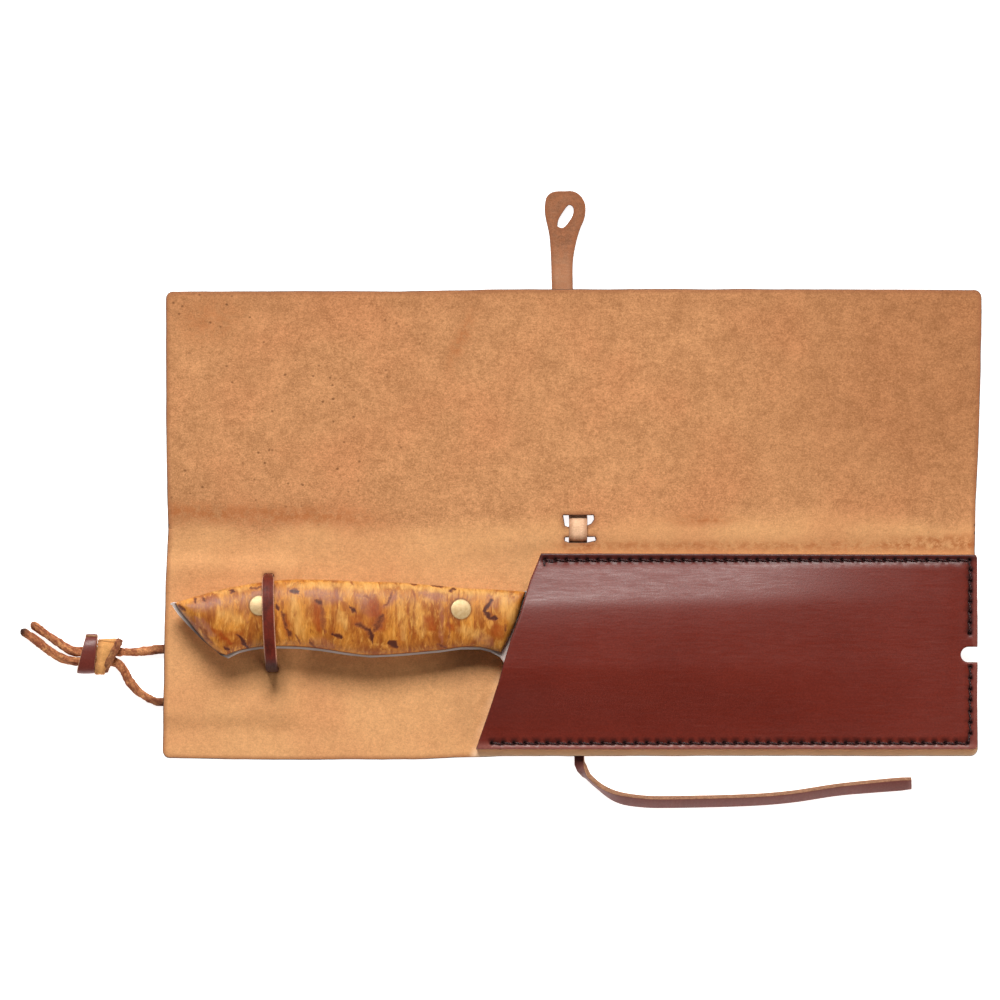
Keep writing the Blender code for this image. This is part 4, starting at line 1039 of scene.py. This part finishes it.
# Painted shade along the pocket's top border and its top seam.
def pocket_painted_shade(x, y):
    top = soft(y, -31.4, -30.4) * 0.8
    seam = 0.85 * (1 - soft(line_distance((x, y), TOP_HOLES), 0.4, 1.3))
    return np.maximum(top, seam)


def pocket_face(x, y):
    return pocket_under(x, y) + POCKET - seam_dent(x, y)


def make_pocket():
    outline = [MOUTH[-1]]
    outline += round_corner(MOUTH[-1], (POCKET_END_X, POCKET_BOTTOM_Y), (POCKET_END_X, NOTCH_Y), 1.5, 4)
    outline += notch(POCKET_END_X)
    outline += round_corner((POCKET_END_X, NOTCH_Y), (POCKET_END_X, POCKET_TOP_Y), MOUTH[0], 1.5, 4)
    outline += [(-10.7, POCKET_TOP_Y + 0.45), *MOUTH[1:-1]]
    extra = []
    for hx, hy in TOP_HOLES + LOW_HOLES:
        extra.append((hx, hy))
        for reach, count in ((0.35, 6), (0.7, 8), (1.1, 10)):
            turns = [2 * math.pi * i / count for i in range(count)]
            extra += [(hx + reach * math.cos(a), hy + reach * math.sin(a)) for a in turns]
    marks = {"hole": hole_painted_shadow, "painted_border_sheen": border_painted_sheen, "dusk": pocket_painted_shade}
    made = cut_leather(
        "pocket_leather_front", hand_cut(outline, 1.4, 0.05), [], 1.5, pocket_face, pocket_under,
        [OXBLOOD, POCKET_FLESH, DARK_CUT], 0.5, extra, marks,
    )
    settle(made, "wrap", "pocket_leather", "pocket_front")


STITCH_COURSE = ((0.02, -1.3), (0.1, -0.35), (0.24, 0.12), (0.5, 0.2), (0.76, 0.1), (0.9, -0.4), (0.98, -1.3))


def make_stitches(name, holes, node, extra_ends):
    """Slanted stitches on the face, and their partners on the back, each diving into its two holes."""
    points, faces, rest = [], [], []
    for face_side in (1, -1):
        for number, (start, end) in enumerate([*zip(holes, holes[1:]), *extra_ends]):
            start, end = np.array(start), np.array(end)
            ahead = (end - start) / np.linalg.norm(end - start)
            side = np.array([-ahead[1], ahead[0]])
            rough = noise.noise(Vector((number * 3.1, start[0], face_side)))
            slant = (0.34 + 0.1 * rough) * (1 if abs(ahead[0]) > 0.5 else -1)
            path = []
            for t, lift in STITCH_COURSE:
                xy = start + (end - start) * t + side * slant * (1 - 2 * t)
                if face_side == 1:
                    level = float(pocket_under(xy[0:1], xy[1:2])[0]) + POCKET - 0.42
                else:
                    level = float(rise(xy[0], xy[1])) + 0.62
                path.append((xy[0], xy[1], level + face_side * lift))
            tube(points, faces, rest, smooth_path(path, 0.34), 0.38, 8)
    made = make_mesh(name, points, faces, [THREAD], rest=rest)
    settle(made, "wrap", "waxed_thread", node)


def tube(points, faces, rest, path, radius, sides):
    """Adds a round tube with closed ends to the lists."""
    ahead = headings(path)
    faces += swept(len(path), sides, len(points))
    across = Vector(ahead[len(path) // 2]).cross(Vector((0.0, 0.0, 1.0))).normalized()
    along = np.concatenate([[0], np.cumsum(np.linalg.norm(np.diff(path, axis=0), axis=1))])
    for here, way, gone in zip(path, ahead, along):
        way = Vector(way)
        side = (across - across.dot(way) * way).normalized()
        up = side.cross(way)
        for j in range(sides):
            turn = 2 * math.pi * j / sides
            points.append(tuple(Vector(here) + side * radius * math.cos(turn) + up * radius * math.sin(turn)))
            rest.append((turn, gone, 0.0))


WELT_WIDTH = 6.0


def make_welts():
    high = POCKET_TOP_Y - 0.15
    low = POCKET_BOTTOM_Y + 0.05
    end = POCKET_END_X - 0.15
    top = [(-11.0, high), (-13.4, high - WELT_WIDTH), (end, high - WELT_WIDTH), (end, high)]
    bottom = [(-33.4, low), (end, low), (end, low + WELT_WIDTH), (-31.4, low + WELT_WIDTH)]
    inner = NOTCH_X - 3.0
    side = [(inner, low + 6.2), (end, low + 6.2), *notch(end), (end, high - 6.2), (inner, high - 6.2)]
    for name, outline in (("welt_top", top), ("welt_bottom", bottom), ("welt_end", side)):
        made = cut_leather(
            f"{name}_strip", hand_cut(outline, 2.0, 0.04), [], 2.4,
            lambda x, y: rise(x, y) + LEATHER + WELT + 0.05, lambda x, y: rise(x, y) + LEATHER - 0.05,
            [POCKET_FLESH, POCKET_FLESH, TAN_CUT], 0.3,
        )
        settle(made, "wrap", "panel_leather", name)


# ---------------------------------------------------------------- straps and laces
def make_closure_strap():
    """Behind the sheet from the bottom edge, through both slits and on to the slotted tab."""
    behind = [(3.0, -98.6, 0.85), (2.9, -90.0, 0.85), (2.6, -60.0, 0.85), (2.35, -34.0, 0.85)]
    lower = [(2.3, -27.5, 0.85), (2.3, -25.4, 0.95), (2.3, -24.0, 1.9)]
    lower += [(2.3, -23.3, 3.4), (2.3, -22.7, 4.7), (2.35, -21.6, 5.3)]
    over = [(2.35, -20.2, 5.5), (2.35, -18.6, 5.35), (2.4, -17.5, 4.7)]
    upper = [(2.4, -16.7, 3.3), (2.4, -16.1, 2.0), (2.3, -14.8, 1.05), (2.3, -13.0, 0.85)]
    upper += [(2.3, STRAP_SPLIT_Y, 0.85)]
    path = smooth_path(behind + lower + over + upper, 0.9)
    width = np.interp(path[:, 1], [-101, -40, -24, -19, -12], [4.9, 6.2, 6.5, 6.45, 6.5])
    made = strip("closure_strap_lower", path, (1.0, 0.0, 0.0), width, 1.35, [BRIDGE_FLESH, OXBLOOD, CUT], 0.3)
    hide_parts("strap_run", "strap_bridge")
    bend(made, "wrap", "spine", SPINE_BEND)
    # the tab's outline, and the strap's two sides from its neck back to the split
    right = [(0.6, 64.0), (0.5, 74.0), (1.6, 81.0), (2.9, 85.6), (4.5, 89.5), (5.0, 92.7), (4.6, 95.6)]
    right += [(3.0, 98.0)]
    left = [(-8.9, 97.0), (-9.4, 94.0), (-9.2, 90.5), (-8.2, 86.0), (-7.6, 82.0), (-7.2, 74.0), (-6.9, 64.0)]
    top = [(0.6, 99.35), (-2.6, 99.4), (-5.7, 99.3), (-7.6, 98.6)]
    smooth = [tuple(p) for p in smooth_path(right + top + left, 1.2)]
    outline = [(-0.95, STRAP_SPLIT_Y), (5.55, STRAP_SPLIT_Y), *smooth]
    slot = [(-4.9, 87.0), (-3.4, 86.4), (-1.9, 87.3), (0.3, 90.6), (0.7, 93.3), (-0.4, 94.4), (-1.6, 93.9)]
    slot += [(-4.4, 89.6)]
    slot = [tuple(p) for p in smooth_path([*slot, slot[0]], 0.7)][:-1]
    marks = {"shade": lambda x, y: soft(y, 66.0, 84.0), "stain": lambda x, y: np.full(len(x), 0.35)}
    tab = cut_leather(
        "closure_strap_tab", hand_cut(outline, 1.6, 0.07, STRAP_SPLIT_Y), [slot], 1.1,
        lambda x, y: 1.55 + 0.5 * soft(y, 70.0, 99.0), lambda x, y: 0.12 + 0.5 * soft(y, 70.0, 99.0),
        [STRAP_FLESH, OXBLOOD, CUT], 0.35, attributes=marks,
    )
    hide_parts("strap_tab")
    bend(tab, "spine", "flap", FLAP_BEND)


def make_laces():
    route = [
        (-68.8, 1.0), (-68.8, 4.0), (-68.8, 8.0), (-68.6, 13.0), (-67.3, 17.0), (-64.4, 20.3), (-59.5, 22.4),
        (-52.0, 23.2), (-44.6, 22.8), (-39.5, 20.6), (-37.2, 17.0), (-36.5, 12.0), (-36.3, 7.0), (-36.2, 3.0),
        (-36.1, 1.0),
    ]
    flat = smooth_path(route, 1.0)
    share = ramp(flat[:, 0], -68.8, -36.1)
    x = -105.2 - 1.3 * share - 0.35 * np.sin(share * math.pi)
    path = np.column_stack([x, flat])
    # painted shade on the lace's lower end, where it goes down into its hole
    painted_shade_low_end = 1 - soft(flat[:, 0], -67.6, -64.0)
    width = 4.3 - 1.3 * (1 - soft(flat[:, 1], 10.0, 19.5)) * soft(flat[:, 0], -60.0, -40.0)
    loop = strip("handle_lace", path, (1.0, 0.0, 0.0), width, 1.8, [LACE] * 3, 0.5, 0.15, dusk=painted_shade_low_end)
    settle(loop, "wrap", "lace_leather", "handle_loop")
    upper = [(-104.0, -36.1), (-110.0, -38.5), (-118.0, -47.0), (-128.0, -57.0), (-136.0, -61.3)]
    upper += [(-143.3, -62.0)]
    lower = [(-102.8, -68.8), (-109.0, -71.5), (-118.0, -77.0), (-130.0, -80.4), (-143.4, -80.5)]
    for letter, route in (("a", upper), ("b", lower)):
        path = smooth_path([(*xy, 1.0) for xy in route], 2.0)
        name = f"lace_behind_{letter}"
        made = strip(name, path, flat_across(path), 3.3, 1.75, [LANYARD] * 3, 0.8, 0.0, 0.14, 0.5)
        settle(made, "wrap", "lace_leather", f"lace_run_{letter}")


def wound_band(name, top, low, middle_y, wide, tall, thickness, looks, lap, ragged=0.0):
    """A strip wound once round both strands, its end lapped over its start.

    top and low are the x of its two sides where it passes the far side and the near side of the strands.
    """
    points, widths = [], []
    for turn in np.linspace(0.0, 2 * math.pi + lap, 90):
        c = math.copysign(abs(math.cos(turn)) ** 0.8, math.cos(turn))
        s = math.copysign(abs(math.sin(turn)) ** 0.8, math.sin(turn))
        grow = 1.0 + 0.12 * turn / (2 * math.pi)
        left = low[0] + (top[0] - low[0]) * (1 + c) / 2
        right = low[1] + (top[1] - low[1]) * (1 + c) / 2
        points.append(((left + right) / 2, middle_y + wide * grow * c, 4.1 + tall * grow * s))
        widths.append(right - left)
    return strip(name, points, (-1.0, 0.0, 0.0), widths, thickness, looks, 0.4, 0.12, ragged)


def make_lanyard_knot():
    knot = wound_band(
        "lanyard_wrap", (-166.6, -159.6), (-167.7, -164.2), -64.7, 5.1, 2.75, 1.3,
        [WRAP_FLESH, LANYARD, WRAP_FLESH], 0.5, 0.32,
    )
    settle(knot, "wrap", "wrap_leather", "lace_wrap")
    route = [(-164.2, -69.3, 4.4), (-163.4, -67.6, 6.8), (-161.6, -64.4, 8.0), (-159.9, -61.0, 7.2)]
    path = smooth_path([*route, (-158.9, -58.9, 4.6)], 0.5)
    lap = strip("lanyard_lap", path, (0.85, -0.5, 0.0), 2.5, 1.7, [LANYARD] * 3, 0.75, 0.0, 0.22, 0.45)
    settle(lap, "wrap", "lace_leather")
    ring = wound_band(
        "lanyard_slide", (-170.9, -166.7), (-174.0, -167.8), -63.65, 5.85, 3.05, 1.15,
        [RING_GRAIN, POCKET_FLESH, TAN_CUT], 0.4,
    )
    settle(ring, "slider", "ring_leather", "slider_ring")


# ---------------------------------------------------------------- knife
KNIFE_TOP = [
    (-141, -45.6), (-136.5, -44.2), (-129.9, -42.3), (-120.7, -40), (-111.6, -38.4), (-102.3, -37.2),
    (-88.5, -37.1), (-74.7, -37.7), (-60.9, -38.1), (-47.1, -39.2), (-37.9, -40.1), (-28.7, -40.5),
    (-16, -41.3), (20, -41.5), (60, -42.6), (90, -45.4), (110, -49.8), (122, -54.6), (131.5, -62),
]
KNIFE_BOTTOM = [
    (-140.6, -46.2), (-138.5, -49.4), (-136.1, -52.1), (-133.2, -55.2), (-129.9, -58.5), (-126.6, -61.3),
    (-123.5, -63.8), (-120.8, -65), (-116.7, -63), (-113.2, -62.2), (-109.6, -61.7), (-102.6, -61.5),
    (-95.6, -61.7), (-88.5, -62.4), (-78, -64), (-70.9, -64.7), (-60.4, -64.2), (-46.3, -62.9),
    (-39.2, -61.9), (-32.2, -61.9), (-28.7, -62.8), (-25.2, -64.7), (-23.6, -67), (-22.6, -72),
    (-22, -79.5), (-20.8, -81.4), (-15, -81.8), (20, -82.2), (60, -81.2), (90, -77.6),
    (110, -72.6), (122, -68), (131.5, -62.4),
]
SCALE_BUTT = [
    (-139.6, -45.6), (-137.8, -48.3), (-134.7, -52), (-131.2, -56.3), (-127.6, -60.4), (-124, -63.1),
    (-121.6, -63.9),
]
SCALE_BOTTOM = [
    (-121.6, -63.9), (-116.7, -62.2), (-109.6, -61), (-102.6, -60.8), (-95.6, -61), (-88.5, -61.7),
    (-78, -63.3), (-70.9, -64), (-60.4, -63.5), (-46.3, -62.2), (-39.2, -61.2), (-32.2, -61.2), (-24.9, -63.1),
]
SCALE_TOP = [
    (-139.6, -45.6), (-129.9, -42.6), (-120.7, -40.3), (-111.6, -38.7), (-102.3, -37.5), (-88.5, -37.4),
    (-74.7, -38), (-60.9, -38.4), (-47.1, -39.5), (-37.9, -40.4), (-28.7, -40.8), (-16.4, -41.6),
]
SCALE_FRONT = [(-16.4, -41.6), (-18.8, -49.9), (-21.3, -56.2), (-24.9, -63.1)]
SCALE_HEIGHT = [(-140, 6.2), (-110, 6.6), (-70, 6.6), (-40, 5.6), (-16, 4.6)]
FRONT_PIN = (-39.3, -47.7)
REAR_PIN = (-110.0, -46.4)
PIN_RADIUS = 3.5
SCALE_EDGE = 0.8
SCALE_ROUNDING = 11.5
MIRROR_X = -158.0
SCALE_SEAT = STEEL / 2 + GAP


def pitched(points):
    """The flat knife laid in the pocket with its tip lowest."""
    points = np.asarray(points, float) - np.array([TIP[0], TIP[1], 0.0])
    turn = math.atan(PITCH_SLOPE)
    x = points[:, 0] * math.cos(turn) + points[:, 2] * math.sin(turn)
    z = -points[:, 0] * math.sin(turn) + points[:, 2] * math.cos(turn)
    return np.column_stack([x, points[:, 1], z]) + np.array(TIP)


def along_edge(edge, share):
    """Points at shares of the length of a smooth curve through the edge."""
    line = smooth_path(edge, 1.0)
    steps = np.concatenate([[0], np.cumsum(np.hypot(*np.diff(line, axis=0).T))])
    where = np.asarray(share) * steps[-1]
    return np.column_stack([np.interp(where, steps, line[:, 0]), np.interp(where, steps, line[:, 1])])


def scale_grid(along, across):
    """The scale's plan, along from butt to front and across from top to bottom."""
    s, t = np.meshgrid(along, across, indexing="ij")
    top, bottom = along_edge(SCALE_TOP, along)[:, None], along_edge(SCALE_BOTTOM, along)[:, None]
    butt, front = along_edge(SCALE_BUTT, across)[None], along_edge(SCALE_FRONT, across)[None]
    s, t = s[..., None], t[..., None]
    corners = (1 - s) * (1 - t) * np.array(SCALE_TOP[0]) + s * (1 - t) * np.array(SCALE_TOP[-1])
    corners = corners + (1 - s) * t * np.array(SCALE_BOTTOM[0]) + s * t * np.array(SCALE_BOTTOM[-1])
    return (1 - t) * top + t * bottom + (1 - s) * butt + s * front - corners


def edge_distance(xy, edge):
    return line_distance(xy, smooth_path(edge, 2.0))


def scale_height(xy):
    total = np.zeros(len(xy))
    for edge, stretch in ((SCALE_TOP, 1.0), (SCALE_BOTTOM, 1.0), (SCALE_BUTT, 1.0), (SCALE_FRONT, 2.6)):
        gap = edge_distance(xy, edge) * stretch
        total += np.maximum(gap, 1e-4) ** -3.0
    near = total ** (-1 / 3)
    full = np.interp(xy[:, 0], [p[0] for p in SCALE_HEIGHT], [p[1] for p in SCALE_HEIGHT])
    share = np.clip(near / SCALE_ROUNDING, 0, 1)
    return SCALE_EDGE + (full - SCALE_EDGE) * np.sqrt(1 - (1 - share) ** 2)


# each stroke: from x, y to x, y, its half width and how strong it is
DARK_STROKES = [
    (-120.5, -41, -119, -41.9, 0.9, 0.9), (-129.5, -43.7, -128.6, -44.6, 0.8, 0.8),
    (-132.6, -43.9, -132.2, -45.2, 0.7, 0.8), (-138, -46.6, -136.2, -48, 0.9, 0.8),
    (-113.3, -40.3, -109.2, -39.4, 0.7, 0.7), (-104.2, -45.8, -103.2, -48.2, 0.9, 0.95),
    (-102, -48.5, -100.3, -55, 0.8, 0.75), (-99.8, -54.6, -99, -57, 1, 0.8),
    (-99.5, -41, -96.2, -41.3, 0.8, 0.9), (-90.6, -44.3, -88.2, -45.6, 1.3, 0.8),
    (-88.3, -46, -87.2, -55.5, 1.5, 0.55), (-78.6, -46.5, -76, -48.9, 0.9, 1),
    (-84.6, -56.4, -80.6, -57.4, 1, 1), (-84, -55.8, -84.6, -56.6, 0.8, 0.9),
    (-76.3, -52.6, -71, -55.3, 1.2, 0.8), (-71.2, -54.6, -70.6, -59.5, 1.1, 1),
    (-66.8, -49.8, -69.6, -55, 1.9, 0.7), (-64.4, -59.3, -61.4, -60.7, 1.4, 1),
    (-117.6, -57.2, -113.6, -61, 0.8, 1), (-118, -56.4, -116, -58.6, 0.8, 0.7),
    (-122.4, -60.6, -120.5, -61.8, 0.9, 0.9), (-130.6, -53.5, -126.6, -60, 0.9, 0.6),
    (-73.3, -42.6, -71, -44.3, 0.6, 0.6), (-62.6, -42, -66.5, -46.8, 0.6, 0.7),
    (-28.3, -44.2, -30.9, -48, 0.9, 0.95), (-30.9, -48, -29.4, -51, 1.3, 1),
    (-29.4, -51, -26.4, -51.2, 1, 1), (-43.4, -41.2, -41.4, -41, 0.7, 0.8),
    (-50.4, -38.9, -45.4, -39.6, 0.6, 0.8), (-57.2, -38.6, -54.2, -38.9, 0.5, 0.7),
    (-82, -36.9, -86.5, -37.6, 0.6, 0.8), (-78.5, -37.3, -76.4, -39.6, 0.5, 0.6),
    (-92.4, -59, -90, -61.3, 0.8, 0.7), (-97.4, -56.3, -95.4, -59.6, 0.7, 0.6),
    (-47.8, -59.6, -43.6, -61.3, 0.8, 0.7), (-24, -53.4, -23.6, -55.6, 0.8, 0.7),
    (-44, -45, -43.6, -61, 0.4, 0.5), (-57.6, -44, -57.4, -59, 0.35, 0.4),
]
AMBER_STROKES = [
    (-126.4, -54.8, -119.8, -59.6, 1.6, 0.9), (-90, -45.4, -89, -55.5, 2, 0.8),
    (-70.5, -45, -67, -54, 4.2, 0.75), (-52, -50.5, -49, -55, 2.6, 0.75),
    (-43.8, -53.2, -41.8, -55, 1.9, 0.9), (-27, -53.5, -25, -58, 2.6, 0.7),
    (-101, -51, -100, -57, 1.7, 0.6), (-60.6, -52, -60.4, -60, 1.4, 0.5),
    (-121.4, -56.4, -115.8, -56.2, 1.6, 0.5), (-78, -50.5, -74, -52.5, 2.2, 0.5),
]
PLUM_STROKES = [
    (-134, -46.5, -124, -45, 2.6, 0.8), (-132.5, -50.5, -126, -57, 1.6, 0.8),
    (-112.4, -42.6, -108.8, -42, 2, 0.8), (-93, -42.5, -82, -43.5, 3.2, 0.75),
    (-75.5, -43, -68.5, -50, 3.2, 0.8), (-62, -43, -67, -47.5, 1.6, 0.7),
    (-53, -41.8, -45, -44, 2, 0.75), (-30, -42.8, -27, -47, 2.2, 0.5),
    (-46.5, -43, -46, -60, 1, 0.5), (-116, -44, -114, -52, 1.4, 0.3),
    (-34, -58, -28, -60, 2.2, 0.5), (-92, -58.6, -84, -60.4, 2, 0.4),
]
# pale figure in the wood; the strokes that run along the top edge paint a highlight there
PALE_FIGURE_AND_TOP_HIGHLIGHT_STROKES = [
    (-100, -39, -60, -39.6, 1.6, 0.7), (-60, -39.6, -20, -42.6, 1.9, 0.8),
    (-126, -42.2, -112, -39.8, 1.2, 0.6), (-24, -43.5, -21, -52, 3, 0.7),
    (-98, -44, -96, -56, 2.6, 0.6), (-61, -42, -59.5, -58, 1.8, 0.5),
    (-56, -44, -53, -57, 2.6, 0.45), (-40, -55, -30, -57.5, 2.4, 0.5),
    (-124, -49, -116, -52, 2.6, 0.45), (-82.5, -48, -80, -54, 2, 0.45),
]
STROKES = {"fleck": DARK_STROKES, "amber": AMBER_STROKES, "plum": PLUM_STROKES, "pale": PALE_FIGURE_AND_TOP_HIGHLIGHT_STROKES}


def painted(xy, strokes):
    """Strokes with ragged sides, thick in their middle and thin at their ends."""
    found = np.zeros(len(xy))
    broad = np.array([tuple(noise.noise_vector(Vector((x * 0.42, y * 0.42, 0.3))))[:2] for x, y in xy])
    small = np.array([tuple(noise.noise_vector(Vector((x * 1.35, y * 1.35, 4.1))))[:2] for x, y in xy])
    torn = xy + 0.8 * broad + 0.35 * small
    for x0, y0, x1, y1, half, strength in strokes:
        span = (x1 - x0) ** 2 + (y1 - y0) ** 2
        share = np.clip(((torn[:, 0] - x0) * (x1 - x0) + (torn[:, 1] - y0) * (y1 - y0)) / span, 0, 1)
        width = half * (1.25 - 0.75 * (2 * share - 1) ** 2)
        gap = line_distance(torn, [(x0, y0), (x1, y1)])
        found = np.maximum(found, strength * (1 - soft(gap / width, 0.15, 1.2)))
    return found


def make_scale(name, side, node):
    """One handle scale: flat against the steel, rounded over and polished on the outside."""
    ends = np.array([0.0, 0.0015, 0.004, 0.008])
    along = np.concatenate([ends, np.linspace(0.012, 0.988, 300), (1.0 - ends)[::-1]])
    across = 0.5 - 0.5 * np.cos(np.linspace(0, math.pi, 72))
    plan = scale_grid(along, across).reshape(-1, 2)
    rows, columns = len(along), len(across)
    height = scale_height(plan)
    curve = np.minimum(height, SCALE_EDGE)
    near = np.full(len(plan), FAR)
    for edge in (SCALE_TOP, SCALE_BOTTOM, SCALE_BUTT, SCALE_FRONT):
        near = np.minimum(near, edge_distance(plan, edge))
    height = height - 0.35 * curve * (1 - soft(near, 0.0, 0.7))
    height = height + 0.12 * lumps(plan, 0.12, 2.0) * soft(near, 1.0, 5.0)
    flat = np.column_stack([plan, np.full(len(plan), side * SCALE_SEAT)])
    points = np.concatenate([flat, np.column_stack([plan, side * (SCALE_SEAT + height)])])
    top = rows * columns
    faces = []
    for i in range(rows - 1):
        for j in range(columns - 1):
            a, b = i * columns + j, i * columns + j + 1
            c, d = b + columns, a + columns
            faces += [(a, b, c, d), (top + d, top + c, top + b, top + a)]
    rim = list(range(columns)) + [i * columns + columns - 1 for i in range(1, rows)]
    rim += [(rows - 1) * columns + j for j in range(columns - 2, -1, -1)]
    rim += [i * columns for i in range(rows - 2, 0, -1)]
    faces += [(a, b, b + top, a + top) for a, b in zip(rim, rim[1:] + rim[:1])]
    marks = {}
    where = plan if side == 1 else np.column_stack([MIRROR_X - plan[:, 0], plan[:, 1]])
    for key, strokes in STROKES.items():
        marks[key] = np.tile(painted(where, strokes), 2)
    # painted shadow in the gaps round the pins and along the bottom, butt and front edges
    painted_gap_shadow = np.zeros(len(plan))
    for x, y in (FRONT_PIN, REAR_PIN):
        gap = np.hypot(plan[:, 0] - x, plan[:, 1] - y) - PIN_RADIUS
        painted_gap_shadow = np.maximum(painted_gap_shadow, 0.5 - 0.5 * soft(np.abs(gap - 0.1), 0.1, 0.7))
    for edge in (SCALE_BOTTOM, SCALE_BUTT, SCALE_FRONT):
        painted_gap_shadow = np.maximum(painted_gap_shadow, 0.85 * (1 - soft(edge_distance(plan, edge), 0.1, 0.55)))
    marks["rim"] = np.tile(painted_gap_shadow, 2)
    made = make_mesh(name, pitched(points), faces, [WOOD], rest=points, attributes=marks)
    settle(made, "knife", "burl_wood", node)


def make_pin(name, centre, node):
    """A pin through both scales, its ends filed flush with the wood and slightly domed."""
    sides = 48
    shares = [1.0, 0.985, 0.95, 0.86, 0.6, 0.3, 0.05]
    points = []
    for side in (-1, 1):
        for share in shares if side == 1 else shares[::-1]:
            proud = 0.34 - 0.2 * share**2 - (0.14 if share == 1.0 else 0.05 if share > 0.98 else 0.0)
            for i in range(sides):
                turn = 2 * math.pi * i / sides
                reach = PIN_RADIUS * share
                xy = np.array([[centre[0] + reach * math.cos(turn), centre[1] + reach * math.sin(turn)]])
                height = SCALE_SEAT + float(scale_height(xy)[0]) + proud
                points.append((xy[0, 0], xy[0, 1], side * height))
    faces = swept(2 * len(shares), sides)
    made = make_mesh(name, pitched(points), faces, [BRASS], rest=points)
    made.data.set_sharp_from_angle(angle=math.radians(50))
    settle(made, "knife", "brass", node)


BLADE_SIDES = 14


def make_blade():
    """Full tang and broad blade: flat steel, ground from a line below the spine to a thin edge."""
    corners = [p[0] for p in KNIFE_BOTTOM]
    stations = np.unique(np.concatenate([np.arange(-141.0, 131.6, 1.2), corners, [131.5]]))
    points = []
    for x in stations:
        top = float(np.interp(x, *np.array(KNIFE_TOP).T))
        if SCALE_TOP[0][0] < x < SCALE_TOP[-1][0]:
            top = min(top, float(np.interp(x, *np.array(SCALE_TOP).T)) - 0.15)
        bottom = float(np.interp(x, *np.array(KNIFE_BOTTOM).T))
        ground = float(soft(x, -20.8, -12.0))
        thick = STEEL - POINT_THINNING * float(ramp(x, 60.0, 131.5))
        thin = thick / 2 + (EDGE_HALF - thick / 2) * ground
        line = top + (bottom - top) * GRIND_LINE
        tall = top - bottom
        half = thick / 2
        bevel = min(0.25, tall * 0.2)
        near = [(top, half - bevel), (top - bevel, half), (line, half)]
        for t in (0.3, 0.65):
            hollow = 0.92 if ground > 0.5 else 1.0
            near.append((line + (bottom - line) * t, half + (thin - half) * t * hollow))
        near.append((bottom + min(0.7, tall * 0.1), thin))
        near.append((bottom, thin * (0.25 if ground > 0.5 else 0.8)))
        points += [(x, y, z) for y, z in near] + [(x, y, -z) for y, z in near[::-1]]
    x = np.array(points)[:, 0]
    # painted shade on the butt's bevelled steel
    dusk = 0.85 * soft(x, -139.5, -131.0) * (1 - soft(x, -123.5, -120.5))
    marks = {"dusk": dusk, "ground": soft(x, -22.0, -12.0)}
    faces = swept(len(stations), BLADE_SIDES)
    made = make_mesh("blade_steel", pitched(points), faces, [STEEL_LOOK], rest=points, attributes=marks)
    made.data.set_sharp_from_angle(angle=math.radians(18))
    settle(made, "knife", "steel", "blade")


make_wrap()
make_pocket()
make_welts()
make_stitches("upper_stitches", TOP_HOLES, "upper_thread", TOP_LOOPS)
make_stitches("lower_stitches", LOW_HOLES, "lower_thread", LOW_LOOPS)
make_closure_strap()
make_laces()
make_lanyard_knot()
make_scale("near_scale_wood", 1, "near_scale")
make_scale("far_scale_wood", -1, "far_scale")
make_pin("front_pin_brass", FRONT_PIN, "front_pin")
make_pin("rear_pin_brass", REAR_PIN, "rear_pin")
make_blade()

bpy.context.view_layer.update()
